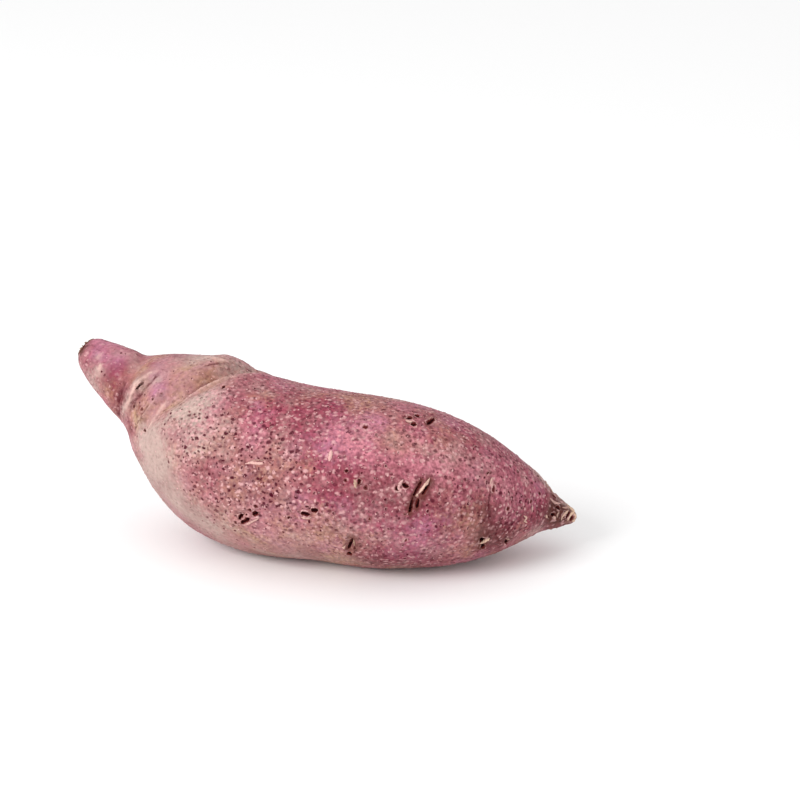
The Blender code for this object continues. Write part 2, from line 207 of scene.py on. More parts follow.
# Shades of the skin, each a soft patch: where its middle shows, its reach in mm, and how strong.
# Calm skin has few specks and a low relief, and pitted skin has many pits.
PATCHES = {
    "tan": {
        seen_at: (
            (150, 361, 5, 0.9), (138, 372, 4, 0.5), (174, 390, 6, 0.9), (186, 386, 10, 1.5),
            (200, 379, 7, 1.5), (179, 381, 5, 1.0), (222, 373, 6, 0.9), (239, 369, 8, 1.2),
            (139, 417, 4, 0.9), (133, 408, 3, 0.6), (115, 382, 4.5, 1.2), (111, 388, 4, 1.0),
            (148, 410, 5, 0.5), (218, 440, 6, 0.5), (203, 494, 6, 0.4), (255, 478, 9, 0.45),
            (250, 540, 13, 0.5), (318, 530, 13, 0.7), (400, 440, 9, 0.5), (440, 448, 8, 0.6),
            (360, 540, 7, 0.5), (462, 513, 9, 1.1), (466, 500, 6, 0.5), (455, 548, 9, 0.5),
            (528, 477, 5, 1.0), (330, 524, 8, 0.4), (364, 530, 8, 0.4), (145, 385, 2, 0.6),
            (139, 420, 2.4, 0.5), (155, 361, 2.5, 0.6), (131, 383, 2.5, 0.4), (218, 367, 5, 0.3),
            (205, 384, 6, 0.3),
        ),
        turned_to: (
            (-20, -120, 16, 0.8), (32, -70, 12, 0.6), (5, 170, 26, 0.7), (-48, -60, 10, 0.6),
            (55, -140, 10, 0.7), (12, -20, 9, 0.5),
        ),
    },
    "rosy": {
        seen_at: (
            (113, 369, 6, 1.1), (122, 396, 3.5, 1.0), (92, 360, 5, 0.8), (104, 374, 4, 0.5),
            (132, 357, 4, 0.6), (157, 362, 5, 0.4), (162, 388, 4, 0.3), (206, 474, 6, 0.8),
            (212, 508, 6, 0.6), (226, 404, 6, 0.3), (262, 420, 10, 0.5), (308, 418, 11, 1.0),
            (328, 420, 8, 1.1), (332, 482, 10, 1.1), (352, 500, 9, 0.5), (380, 494, 11, 0.85),
            (410, 490, 9, 0.75), (372, 520, 8, 0.5), (425, 512, 9, 0.5), (470, 494, 9, 0.65),
            (426, 556, 9, 0.8), (385, 560, 9, 0.7), (410, 425, 6, 0.5), (488, 438, 12, 0.95),
            (512, 462, 8, 0.8), (512, 480, 10, 0.9), (545, 500, 7, 1.0), (528, 472, 8, 0.35),
            (534, 498, 8, 0.35), (538, 516, 5, 0.9), (508, 520, 8, 0.9), (492, 536, 5, 0.6),
            (494, 452, 8, 0.55), (434, 446, 7, 0.5), (328, 436, 6, 0.4), (368, 450, 6, 0.25),
            (93, 368, 3, 0.4),
        ),
        turned_to: (
            (10, -60, 18, 0.7), (-30, -30, 12, 0.7), (45, -100, 14, 0.8), (-5, -160, 12, 0.6),
            (68, -60, 9, 0.8),
        ),
    },
    "lilac": {
        seen_at: (
            (104, 349, 7, 0.7), (117, 359, 4, 0.7), (156, 376, 4, 0.8), (161, 383, 4, 0.6),
            (185, 358, 8, 0.3), (205, 400, 8, 0.5), (155, 389, 3.5, 0.7), (340, 436, 8, 0.7),
            (366, 430, 7, 0.4), (300, 545, 12, 0.35), (340, 520, 8, 0.4), (392, 528, 12, 0.3),
            (430, 548, 10, 0.4), (295, 506, 6, 0.6),
        ),
        turned_to: ((-5, -90, 12, 0.6), (28, -150, 12, 0.6), (-40, -110, 9, 0.5)),
    },
    "pink": {
        seen_at: (
            (350, 436, 8, 0.7), (394, 452, 9, 0.35), (426, 462, 9, 0.2), (457, 466, 8, 0.4),
            (478, 476, 7, 0.3), (500, 488, 7, 0.5), (500, 452, 8, 0.3), (522, 492, 8, 0.4),
            (470, 534, 6, 0.4), (500, 448, 8, 0.3), (412, 476, 9, 0.45), (436, 478, 6, 0.4),
            (195, 425, 8, 0.5), (114, 350, 5, 0.4), (150, 388, 2.5, 0.5),
        ),
        turned_to: ((-30, -55, 9, 0.7), (20, -110, 10, 0.7), (50, -80, 9, 0.6)),
    },
    # Pale skin, and painted light: the smallest patches on the neck are painted glints, the row
    # along the upper right edge is a painted rim of light, and the broad ones along the lower left
    # edge are pale skin with a painted sheen.
    "pale": {
        seen_at: (
            (94, 386, 4, 0.8), (88, 372, 4, 0.5), (100, 370, 2, 0.6), (126, 398, 3.2, 1.0),
            (122, 410, 3, 1.0), (138, 384, 3, 0.7), (158, 362, 5, 0.15), (190, 357, 7, 0.5),
            (210, 357, 7, 0.5), (240, 366, 6, 0.7), (141, 441, 4, 0.5), (146, 470, 4, 0.5),
            (497, 437, 2.5, 0.6), (512, 449, 2.5, 0.7), (524, 461, 2.5, 0.7), (185, 408, 6, 0.7),
            (208, 397, 6, 0.6), (190, 403, 9, 0.45), (150, 436, 8, 1.0), (158, 466, 9, 1.0),
            (176, 500, 9, 1.0), (205, 524, 9, 0.9), (205, 440, 10, 0.4), (240, 500, 12, 0.25),
            (240, 545, 12, 0.25), (300, 555, 12, 0.4), (534, 470, 3, 0.6), (543, 480, 3, 0.9),
            (551, 489, 3, 1.0), (560, 499, 3, 1.0), (568, 508, 3, 0.8), (535, 531, 4, 0.8),
            (280, 446, 7, 0.3), (348, 520, 7, 0.25), (192, 433, 6, 0.35), (162, 402, 3, 0.15),
            (162, 368, 3, 0.3), (482, 466, 5, 0.3), (150, 480, 6, 0.8), (164, 503, 6, 0.8),
            (186, 526, 6, 0.6), (98, 357, 1.6, 0.5), (133, 369, 1.6, 0.3), (157.5, 381, 1.8, 0.6),
            (161, 395, 1.8, 0.25), (144, 426, 1.8, 0.5),
        ),
        turned_to: ((-62, -70, 9, 0.7), (-20, -80, 9, 0.5), (30, -110, 9, 0.5)),
    },
    "deep": {
        seen_at: (
            (114, 373, 4, 0.3), (123, 396, 3, 0.7), (105, 386, 3, 0.35), (88, 364, 3, 0.4),
            (206, 474, 5, 0.3), (315, 412, 9, 0.35), (336, 480, 8, 0.35), (366, 488, 8, 0.35),
            (388, 494, 8, 0.25), (408, 498, 8, 0.35), (424, 484, 5, 0.2), (448, 500, 7, 0.2),
            (470, 492, 8, 0.2), (488, 442, 10, 0.15), (516, 466, 7, 0.15), (372, 558, 8, 0.6),
            (420, 564, 8, 0.4), (492, 538, 7, 0.7), (512, 527, 7, 0.5), (540, 516, 5, 0.8),
            (505, 502, 8, 0.2), (268, 486, 10, 0.3), (248, 488, 9, 0.25), (318, 522, 10, 0.2),
            (462, 512, 6, 0.25), (352, 524, 7, 0.25), (128, 384, 2.5, 0.4), (112, 386, 3, 0.3),
            (448, 534, 8, 0.2), (132.5, 400, 1.8, 0.6), (140, 397, 1.8, 0.5), (140, 408, 1.8, 0.6),
            (130, 427, 2, 0.6), (144, 421, 1.8, 0.4), (118, 410, 2, 0.7), (119, 400, 2, 0.6),
            (136, 351, 2.5, 0.6),
        ),
        turned_to: ((15, -70, 12, 0.5), (-25, -120, 10, 0.5), (60, -120, 10, 0.5)),
    },
    # Dried skin, and painted shade: the dark rim round the neck end is dried skin; the patches in
    # the crease by the tip, by the neck's crease, between the tip's ridges and near the lower edge
    # are dried skin darkened further with painted shade.
    "dried": {
        seen_at: (
            (82, 346, 2.4, 0.9), (80, 353, 2, 0.7), (484, 532, 5, 0.6), (489, 510, 3.2, 0.6),
            (498, 541, 5, 0.5), (561, 514, 5, 1.3), (553, 506, 4, 0.6), (550, 517, 4, 0.6),
            (121, 396, 2.5, 0.4), (375, 561, 6, 0.3), (354, 541, 3, 0.3), (117.5, 413, 2, 0.5),
        ),
        turned_to: ((80, -90, 5, 0.6),),
    },
    "calm": {
        seen_at: (
            (112, 362, 16, 0.55), (150, 380, 14, 0.35), (200, 372, 16, 0.6), (152, 450, 12, 1.0),
            (170, 495, 13, 1.0), (205, 528, 10, 0.8), (250, 548, 12, 0.7), (310, 556, 12, 0.6),
        ),
        turned_to: ((-60, -90, 22, 0.9), (-10, 180, 30, 0.6)),
    },
    "pitted": {
        seen_at: (
            (200, 420, 12, 0.6), (205, 455, 16, 0.9), (240, 488, 17, 0.9), (275, 452, 14, 0.5),
            (285, 496, 12, 0.5), (325, 490, 10, 0.4), (480, 484, 12, 0.55), (515, 506, 11, 0.75),
        ),
        turned_to: ((0, -80, 18, 0.6), (40, -130, 14, 0.6)),
    },
}

SAME_PLACE = 1e-7
FINER_LEVELS = 2
merged = bmesh.new()
merged.from_mesh(root_node.data)
bmesh.ops.remove_doubles(merged, verts=merged.verts, dist=SAME_PLACE)
bmesh.ops.join_triangles(
    merged, faces=merged.faces, angle_face_threshold=math.pi, angle_shape_threshold=math.pi
)
merged.verts.index_update()
skin_mesh = bpy.data.meshes.new("skin")
skin_mesh.from_pydata(
    [v.co for v in merged.verts], [], [[v.index for v in f.verts] for f in merged.faces]
)
merged.free()
for shade, patches in PATCHES.items():
    spread = [
        (find(a, b)[0], reach * MM, amount) for find, a, b, reach, amount in each(patches)
    ]
    layer = skin_mesh.attributes.new(shade, "FLOAT", "POINT")
    for vertex, value in zip(skin_mesh.vertices, layer.data):
        value.value = sum(
            amount * math.exp(-((vertex.co - middle).length_squared) / reach**2)
            for middle, reach, amount in spread
        )

# Folds of the neck and shoulder: where they run, how far they reach to each side, and how far
# they rise, all in mm, then how dark (below 0) or pale (above 0) their line is. The dark line is
# painted shade in the crease, and the pale line pale cork with a painted highlight on the ridge.
FOLDS = (
    (((127.5, 380), (122, 391), (118.6, 401), (117.6, 409), (119.8, 417)), 0.7, 1.1, -0.55, -1.0),
    (((161, 369), (152, 372), (144, 377.5), (136, 385), (131, 396), (124.5, 410)),
     0.9, 1.0, 0.4, 0.9),
    (((162, 373), (154, 379), (147, 387), (139.5, 396), (132.5, 404), (128.5, 415)),
     0.7, 0.7, -0.45, -0.75),
    (((169, 400), (161, 409), (153, 420), (146.5, 433)), 0.7, 0.7, 0.35, 0.7),
    (((158, 396), (148, 407), (140, 419), (135.5, 430)), 0.8, 0.8, 0.3, 0.45),
    (((152, 401), (144, 412), (137.5, 424), (134, 434)), 0.6, 0.6, -0.35, -0.6),
    (((240, 375.5), (226, 378), (213, 382.5), (199, 390), (188, 397.5), (180, 405)),
     0.7, 1.0, 0.45, 0.8),
    (((181, 402.5), (188, 395.5), (199, 388), (213, 380.5), (222, 377.5)), 0.6, 0.6, -0.4, -0.5),
    (((203, 366.5), (211, 364), (219, 363), (229, 363.6)), 0.6, 0.6, -0.45, -0.8),
    (((199, 357.5), (208, 357), (220, 359), (231, 362)), 0.7, 0.7, 0.35, 0.7),
    (((488, 474), (490.5, 484), (490, 496), (489, 508), (491, 520), (492, 529)),
     1.2, 1.0, -0.7, -1.0),
    (((492.5, 479), (490.5, 487), (488.5, 495)), 0.5, 0.5, 0.25, 0.8),
    (((101, 362), (99.6, 370), (98.4, 379)), 0.8, 0.8, 0.2, 0.8),
    (((102, 353), (98.6, 356.4), (96.4, 359.6)), 0.6, 0.6, 0.15, 0.6),
    (((162.5, 372.5), (156.5, 376.5), (150.5, 381.5)), 0.6, 0.6, -0.35, -0.9),
    (((144, 393.5), (139.5, 395.6), (135, 398.5)), 0.5, 0.5, -0.2, -0.6),
    (((291, 508.6), (293.4, 513.6), (296, 519)), 0.4, 0.4, -0.15, -0.6),
)
FOLD_STEP = 0.12 * MM
FOLD_FADE = 6
fold_rows = []
for path, right, left, rise, tint in FOLDS:
    trail = walk(seen_at, path, FOLD_STEP)
    last = len(trail) - 1
    for i, (place, outward) in enumerate(trail):
        before, after = trail[max(0, i - 1)][0], trail[min(last, i + 1)][0]
        fade = min(1, FOLD_FADE * min(i, last - i) / len(trail))
        fold_rows.append(
            {
                "place": place,
                "side": (after - before).cross(outward).normalized(),
                "right": right * MM,
                "left": left * MM,
                "rise": rise * MM * fade,
                "tint": tint * fade,
            }
        )
folds = spots("folds", fold_rows)

# Scars and slits: where they run, half their width, depth and lip height in mm, then how dark
# their floor is (dark scar tissue, partly painted shade in the hollow), how pale their lips are,
# and how far a brown stain spreads round them, in mm.
MARKS = {
    seen_at: (
        (((429.4, 481), (426, 488), (421.6, 495.5)), 0.55, 1.0, 0.2, 1.0, 0.1, 3.4),
        (((418, 498), (417.4, 503), (416.4, 508)), 0.55, 0.9, 0.15, 1.0, 0.1, 2.6),
        (((421.6, 481), (417, 488), (413, 496)), 0.5, 0.45, 0.1, 1.0, 0.1, 2.2),
        (((412.6, 497), (411.4, 503), (409.6, 513)), 0.5, 0.9, 0.15, 1.0, 0.1, 2.6),
        (((405.2, 513.4), (405, 515.2)), 0.45, 0.5, 0.2, 0.8, 0.2, 0.8),
        (((352.6, 538.2), (351.2, 542.6), (348.2, 548.6)), 0.5, 0.8, 0.2, 0.85, 0.2, 2.6),
        (((349.6, 553.8),), 0.75, 0.8, 0.3, 1.0, 0.3, 2.2),
        (((355, 546), (354.6, 549.6)), 0.3, 0.2, 0.1, 0.6, 0.1, 2.4),
        (((480.8, 537.4), (482.4, 540.6)), 0.9, 0.9, 0.4, 1.0, 0.8, 3.8),
        (((481, 546.5), (484, 545.2)), 0.9, 0.8, 0.4, 1.0, 0.8, 2.8),
        (((504.6, 540.8), (507.2, 541.4)), 0.7, 0.7, 0.4, 1.0, 0.5, 1.4),
        (((238.8, 519), (243.4, 513.4)), 0.55, 0.6, 0.3, 1.0, 0.6, 1.0),
        (((241, 523.4), (249.4, 518.4)), 0.6, 0.6, 0.3, 1.0, 0.7, 1.0),
        (((252.8, 514.8), (258, 512.6)), 0.75, 0.7, 0.35, 1.0, 0.7, 1.0),
        (((250, 510.2),), 0.6, 0.4, 0.25, 0.9, 0.4, 0.6),
        (((246.4, 514.4),), 0.35, 0.3, 0.2, 0.9, 0.4, 0.5),
        (((235.5, 522.4),), 0.5, 0.4, 0.25, 0.7, 0.4, 0.6),
        (((255.6, 506.4),), 0.55, 0.4, 0.25, 0.9, 0.4, 0.5),
        (((300, 513), (305, 513.6), (310.5, 514.8)), 0.55, 0.6, 0.35, 1.0, 0.8, 1.0),
        (((311, 510.6), (318, 510)), 0.65, 0.6, 0.35, 1.0, 0.8, 1.0),
        (((307, 506.4),), 0.45, 0.35, 0.2, 0.8, 0.3, 0.5),
        (((286.4, 518), (289.6, 517.4)), 0.55, 0.5, 0.3, 0.9, 0.6, 0.7),
        (((397.2, 488),), 0.65, 0.55, 0.35, 1.0, 0.7, 0.8),
        (((402.6, 484.4), (408.6, 486.8)), 0.65, 0.55, 0.35, 1.0, 0.7, 0.8),
        (((405.4, 417.8), (412.4, 417.6)), 0.85, 0.7, 0.4, 1.0, 0.9, 1.4),
        (((410.6, 424.4), (416.6, 424)), 0.8, 0.6, 0.35, 1.0, 0.9, 1.0),
        (((414.8, 415), (420, 417)), 0.75, 0.6, 0.3, 1.0, 0.6, 1.2),
        (((427, 424.4), (434, 418)), 0.7, 0.7, 0.3, 1.0, 0.6, 1.6),
        (((365, 427.2),), 0.75, 0.5, 0.4, 1.0, 0.9, 0.6),
        (((359.4, 478.6), (358.8, 484.6)), 0.45, 0.45, 0.3, 0.9, 0.5, 1.0),
        (((344.4, 471), (348.6, 471.2)), 0.5, 0.4, 0.25, 0.9, 0.4, 0.5),
        (((345.6, 480.6),), 0.5, 0.4, 0.2, 0.9, 0.2, 0.5),
        (((365.5, 487.4),), 0.55, 0.4, 0.2, 0.8, 0.2, 0.5),
        (((369.8, 518), (369.6, 520.6)), 0.55, 0.5, 0.25, 1.0, 0.4, 0.8),
        (((403.6, 539.4), (407.6, 541.8)), 0.5, 0.4, 0.25, 0.9, 0.6, 0.6),
        (((487.6, 472.6), (489.6, 474.4)), 0.6, 0.55, 0.35, 1.0, 0.5, 0.8),
        (((494.6, 484), (493, 494)), 0.4, 0.45, 0.25, 0.8, 0.6, 1.2),
        (((539.5, 493.6),), 0.5, 0.4, 0.25, 0.9, 0.5, 0.4),
        (((531, 501.6),), 0.55, 0.4, 0.25, 0.9, 0.5, 0.5),
        (((508, 508.6),), 0.6, 0.45, 0.25, 0.9, 0.5, 0.5),
        (((552.4, 494.8), (556.6, 499.6)), 0.55, 0.7, 0.3, 1.0, 0.6, 1.6),
        (((556, 506.4), (560, 509.4)), 0.6, 0.7, 0.3, 1.0, 0.6, 1.4),
        (((551, 513.8), (554.6, 515.4)), 0.6, 0.7, 0.3, 1.0, 0.6, 1.4),
        (((547.6, 517), (549.4, 516.4)), 0.4, 0.4, 0.25, 0.9, 0.6, 0.8),
        (((566.2, 511), (563.6, 514.4), (561.4, 518.4)), 0.42, 0.6, 0.3, 1.0, 0.8, 0.8),
        (((569.4, 511.8), (567.2, 515), (565.6, 519)), 0.42, 0.6, 0.3, 1.0, 0.8, 0.8),
        (((571.6, 518.4),), 0.75, 0.8, 0.3, 1.0, 0.5, 0.4),
        (((143.4, 382.6), (139.6, 385.6), (135.4, 389.4)), 0.45, 0.25, 0.4, 0.55, 1.0, 0.4),
        (((145.4, 393.6), (144.4, 395.4)), 0.45, 0.25, 0.2, 0.6, 0.35, 0.8),
        (((153.4, 398), (151.6, 400)), 0.4, 0.25, 0.25, 0.6, 0.45, 0.8),
        (((161.6, 392.6), (160.2, 394.4)), 0.35, 0.2, 0.2, 0.5, 0.4, 0.6),
        (((141.6, 409),), 0.5, 0.25, 0.2, 0.6, 0.5, 1.2),
        (((134.6, 404.6), (133.4, 408)), 0.5, 0.25, 0.15, 0.6, 0.4, 1.2),
        (((144.4, 428), (145.4, 432)), 0.45, 0.3, 0.2, 0.75, 0.7, 0.8),
        (((222, 387.6), (225.4, 386)), 0.55, 0.5, 0.3, 1.0, 0.5, 0.6),
        (((262.6, 548.4), (267.4, 549.8)), 0.5, 0.4, 0.3, 0.7, 0.7, 0.6),
    ),
    turned_to: (
        (((-30, -70), (-27, -84), (-26, -96)), 0.7, 0.9, 0.35, 1.0, 0.6, 2.0),
        (((2, -48), (4, -58)), 0.6, 0.8, 0.35, 1.0, 0.5, 1.6),
        (((28, -84), (31, -100)), 0.65, 0.9, 0.35, 1.0, 0.6, 2.0),
        (((-8, -124), (-5, -136)), 0.6, 0.8, 0.35, 1.0, 0.5, 1.6),
        (((52, -96), (54, -112)), 0.55, 0.8, 0.35, 1.0, 0.5, 1.4),
    ),
}
MARK_STEP = 0.1 * MM
MARK_END = 0.25
mark_rows = []
for find, path, half_width, depth, lip, dark, pale, stain in each(MARKS):
    trail = walk(find, path, MARK_STEP)
    for i, (place, _) in enumerate(trail):
        share = 0.5 if len(trail) == 1 else i / (len(trail) - 1)
        taper = MARK_END + (1 - MARK_END) * (1 - (2 * share - 1) ** 4)
        mark_rows.append(
            {
                "place": place,
                "reach": half_width * MM * taper,
                "depth": depth * MM * taper,
                "lip": lip * MM * taper,
                "dark": dark,
                "pale": pale,
                "stain": stain * MM,
            }
        )
marks = spots("marks", mark_rows)

# The relief of the skin. A mark's hollow and lip are measured in its half widths.
NOISE_MIDDLE = 0.5
HOLLOW_EDGES = (1.25, 0.1)
LIP_CREST = 1.85
LIP_REACH = 0.95
CALM_RELIEF = 0.35
SKIN_RELIEF = {
    "Swell Size": 6.5 * MM,
    "Swell Height": 0.28 * MM,
    "Grain Size": 2.4 * MM,
    "Grain Height": 0.34 * MM,
    "Dimple Spacing": 5.2 * MM,
    "Dimple Width": 1.5 * MM,
    "Dimple Depth": 0.22 * MM,
    "Fold Line": 1.6 * MM,
    "Tear Size": 1.1 * MM,
    "Tear Sway": 1.0 * MM,
}
relief, given = new_tree("Relief of the skin", SKIN_RELIEF, ("Folds", "Marks"))
here = add(relief, "GeometryNodeInputPosition")
outward = add(relief, "GeometryNodeInputNormal")


def sampled(tree, source, near, name=None, kind="FLOAT"):
    """A number that the nearest point of a source carries or, with no name, its place."""
    if name:
        value = add(tree, "GeometryNodeInputNamedAttribute", {"Name": name}, data_type=kind)
    else:
        value = add(tree, "GeometryNodeInputPosition")
    wanted = {"Geometry": source, "Value": value, "Index": near}
    return add(tree, "GeometryNodeSampleIndex", wanted, data_type=kind)


fold_points = add(relief, "GeometryNodeObjectInfo", [given["Folds"]]).outputs["Geometry"]
nearest_fold = {"Geometry": fold_points, "Sample Position": here}
nearest_fold = add(relief, "GeometryNodeSampleNearest", nearest_fold)
fold = {
    name: sampled(relief, fold_points, nearest_fold, name)
    for name in ("left", "right", "rise", "tint")
}
fold_place = sampled(relief, fold_points, nearest_fold, kind="FLOAT_VECTOR")
fold_side = sampled(relief, fold_points, nearest_fold, "side", "FLOAT_VECTOR")
from_fold = add(relief, "ShaderNodeVectorMath", [here, fold_place], operation="SUBTRACT")
fold_across = [from_fold, fold_side]
fold_across = add(relief, "ShaderNodeVectorMath", fold_across, operation="DOT_PRODUCT")
fold_across = fold_across.outputs["Value"]
fold_distance = add(relief, "ShaderNodeVectorMath", [from_fold], operation="LENGTH")
fold_distance = fold_distance.outputs["Value"]
on_right = add(relief, "ShaderNodeMath", [fold_across, 0.0], operation="GREATER_THAN")
fold_reach = {"Factor": on_right, "A": fold["left"], "B": fold["right"]}
fold_reach = add(relief, "ShaderNodeMix", fold_reach, data_type="FLOAT")
in_fold = {"Value": fold_distance, "From Min": fold_reach, "From Max": 0.0}
in_fold = add(relief, "ShaderNodeMapRange", in_fold, interpolation_type="SMOOTHSTEP")
fold_height = add(relief, "ShaderNodeMath", [in_fold, fold["rise"]], operation="MULTIPLY")
by_fold = {"Value": fold_distance, "From Min": given["Fold Line"], "From Max": 0.0}
by_fold = add(relief, "ShaderNodeMapRange", by_fold, interpolation_type="SMOOTHSTEP")
fold_tint = add(relief, "ShaderNodeMath", [by_fold, fold["tint"]], operation="MULTIPLY")

tear_scale = add(relief, "ShaderNodeMath", [1.0, given["Tear Size"]], operation="DIVIDE")
tear = add(relief, "ShaderNodeTexNoise", {"Vector": here, "Scale": tear_scale, "Detail": 2.0})
tear = [tear.outputs["Color"], (NOISE_MIDDLE,) * 3]
tear = add(relief, "ShaderNodeVectorMath", tear, operation="SUBTRACT")
tear = {"Vector": tear, "Scale": given["Tear Sway"]}
tear = add(relief, "ShaderNodeVectorMath", tear, operation="SCALE")
torn_here = add(relief, "ShaderNodeVectorMath", [here, tear], operation="ADD")
mark_points = add(relief, "GeometryNodeObjectInfo", [given["Marks"]]).outputs["Geometry"]
nearest_mark = {"Geometry": mark_points, "Sample Position": torn_here}
nearest_mark = add(relief, "GeometryNodeSampleNearest", nearest_mark)
mark = {
    name: sampled(relief, mark_points, nearest_mark, name)
    for name in ("reach", "depth", "lip", "dark", "pale", "stain")
}
mark_place = sampled(relief, mark_points, nearest_mark, kind="FLOAT_VECTOR")
mark_distance = [torn_here, mark_place]
mark_distance = add(relief, "ShaderNodeVectorMath", mark_distance, operation="DISTANCE")
mark_distance = mark_distance.outputs["Value"]
mark_share = add(relief, "ShaderNodeMath", [mark_distance, mark["reach"]], operation="DIVIDE")
in_mark = {"Value": mark_share, "From Min": HOLLOW_EDGES[0], "From Max": HOLLOW_EDGES[1]}
in_mark = add(relief, "ShaderNodeMapRange", in_mark, interpolation_type="SMOOTHSTEP")
lip_share = add(relief, "ShaderNodeMath", [mark_share, LIP_CREST], operation="SUBTRACT")
lip_share = add(relief, "ShaderNodeMath", [lip_share], operation="ABSOLUTE")
on_lip = {"Value": lip_share, "From Min": LIP_REACH, "From Max": 0.0}
on_lip = add(relief, "ShaderNodeMapRange", on_lip, interpolation_type="SMOOTHSTEP")
mark_depth = add(relief, "ShaderNodeMath", [in_mark, mark["depth"]], operation="MULTIPLY")
lip_height = add(relief, "ShaderNodeMath", [on_lip, mark["lip"]], operation="MULTIPLY")
mark_height = add(relief, "ShaderNodeMath", [lip_height, mark_depth], operation="SUBTRACT")
stain = {"Value": mark_distance, "From Min": mark["stain"], "From Max": 0.0}
stain = add(relief, "ShaderNodeMapRange", stain, interpolation_type="SMOOTHSTEP")

waves = {}
for kind in ("Swell", "Grain"):
    scale = add(relief, "ShaderNodeMath", [1.0, given[kind + " Size"]], operation="DIVIDE")
    wave = add(relief, "ShaderNodeTexNoise", {"Vector": here, "Scale": scale, "Detail": 1.0})
    wave = add(relief, "ShaderNodeMath", [wave, NOISE_MIDDLE], operation="SUBTRACT")
    wave = [wave, given[kind + " Height"]]
    waves[kind] = add(relief, "ShaderNodeMath", wave, operation="MULTIPLY")
spacing = given["Dimple Spacing"]
dimple_scale = add(relief, "ShaderNodeMath", [1.0, spacing], operation="DIVIDE")
dimple = add(relief, "ShaderNodeTexVoronoi", {"Vector": here, "Scale": dimple_scale})
dimple = dimple.outputs["Distance"]
dimple = add(relief, "ShaderNodeMath", [dimple, spacing], operation="MULTIPLY")
dimple = {"Value": dimple, "From Min": given["Dimple Width"], "From Max": 0.0}
dimple = add(relief, "ShaderNodeMapRange", dimple, interpolation_type="SMOOTHSTEP")
dimple = add(relief, "ShaderNodeMath", [dimple, given["Dimple Depth"]], operation="MULTIPLY")
calm = add(relief, "GeometryNodeInputNamedAttribute", {"Name": "calm"}, data_type="FLOAT")
lively = add(relief, "ShaderNodeMapRange", {"Value": calm, "To Min": 1.0, "To Max": CALM_RELIEF})
texture = add(relief, "ShaderNodeMath", [waves["Grain"], dimple], operation="SUBTRACT")
texture = [texture, lively, waves["Swell"]]
texture = add(relief, "ShaderNodeMath", texture, operation="MULTIPLY_ADD")
height = add(relief, "ShaderNodeMath", [fold_height, mark_height], operation="ADD")
height = add(relief, "ShaderNodeMath", [height, texture], operation="ADD")
offset = {"Vector": outward, "Scale": height}
offset = add(relief, "ShaderNodeVectorMath", offset, operation="SCALE")

geometry = given["Geometry"]
for name, value in (
    ("fold_across", fold_across),
    ("fold_tint", fold_tint),
    ("mark_share", mark_share),
    ("mark_dark", mark["dark"]),
    ("mark_pale", mark["pale"]),
    ("stain", stain),
):
    stored = {"Geometry": geometry, "Name": name, "Value": value}
    geometry = add(
        relief, "GeometryNodeStoreNamedAttribute", stored, data_type="FLOAT", domain="POINT"
    )
geometry = add(relief, "GeometryNodeSetPosition", {"Geometry": geometry, "Offset": offset})
lifted = add(relief, "ShaderNodeSeparateXYZ", [here])
above = add(relief, "ShaderNodeMath", [lifted.outputs["Z"], 0.0], operation="MAXIMUM")
on_table = [lifted.outputs["X"], lifted.outputs["Y"], above]
on_table = add(relief, "ShaderNodeCombineXYZ", on_table)
geometry = add(relief, "GeometryNodeSetPosition", {"Geometry": geometry, "Position": on_table})

# Cork skin (periderm), grown, washed and dried: dull and faintly waxy. The colour drifts
# from mauve to magenta, lilac and tan over a centimetre. Pits and corky dots about a millimetre
# wide and about 2 mm apart speckle it, with grains between them drawn coarser than life. The
# pits are dark cork and partly painted shade, the dots pale cork and partly a painted highlight.
SKIN_MAUVE = "#97575E"
# Painted shade in the folds' creases.
CREASE_SHADE = "#55151F"
# Dark scar tissue for a scar's floor and wall, partly painted shade in its hollow.
SCAR_FLOOR = "#22090B"
SCAR_WALL = "#5C2422"
SCAR_LIP = "#E2B4B0"
# Pale cork with a painted highlight, along the folds' ridges.
FOLD_PALE_AND_HIGHLIGHT = "#D8B2A8"
SCAR_STAIN = "#602F28"
SKIN_GLOSS = 0.15
# Each shade's colour, then the channel and the direction of the drift that brings it up where no
# patch does, and how far.
TONES = {
    "tan": ("#AC8668", "Red", 1.0, 0.45),
    "rosy": ("#8A3247", "Green", 1.0, 0.45),
    "lilac": ("#AE7088", "Blue", 1.0, 0.4),
    "pink": ("#BA7480", "Red", -1.0, 0.4),
    "pale": ("#B0968E", "Blue", -1.0, 0.35),
    "deep": ("#6C2A32", "Green", -1.0, 0.3),
    "dried": ("#562A25", None, 0.0, 0.0),
}
DRIFT_SIZE = 11 * MM
DRIFT_SPAN = 0.16
GRAIN_SIZE = 1.25 * MM
GRAIN_SPAN = {"From Min": 0.3, "From Max": 0.7}
GRAIN_TINT = {"To Min": -0.6, "To Max": 0.45}
GRAIN_SHADE = {"To Min": -0.32, "To Max": 0.34}
GRAIN_RISE = 0.28
# Layers of specks: the kind, how far apart and how wide they are in mm, a shift of the pattern,
# the chance under which a place stays bare, and how strong their colour is.
SPECKS = (
    ("pits", 2.6, 1.30, 0.000, 0.15, 0.95),
    ("pits", 1.7, 0.95, 0.530, 0.20, 0.95),
    ("dots", 2.6, 1.40, 0.310, 0.20, 0.85),
    ("dots", 1.8, 1.00, 0.770, 0.15, 0.92),
)
# Each kind's colour, its rim and its full part in shares of half its width, and its rise.
# The pits' colour is dark cork with painted shade, the dots' pale cork with a painted highlight.
SPECK_TONES = {"pits": "#4A1020", "dots": "#D4A3A3"}
SPECK_EDGES = {"pits": (1.2, 0.7), "dots": (1.35, 0.5)}
SPECK_RISE = {"pits": -0.2, "dots": 0.1}
UNPITTED = {"pits": 0.6, "dots": 0.68}
CALM_SPECKS = 0.3
SPECK_CHANCE = 0.4
SPECK_STRETCH = (0.8, 1.0, 1.0)
SWAY_SIZE = 1.1 * MM
SWAY = 0.55 * MM

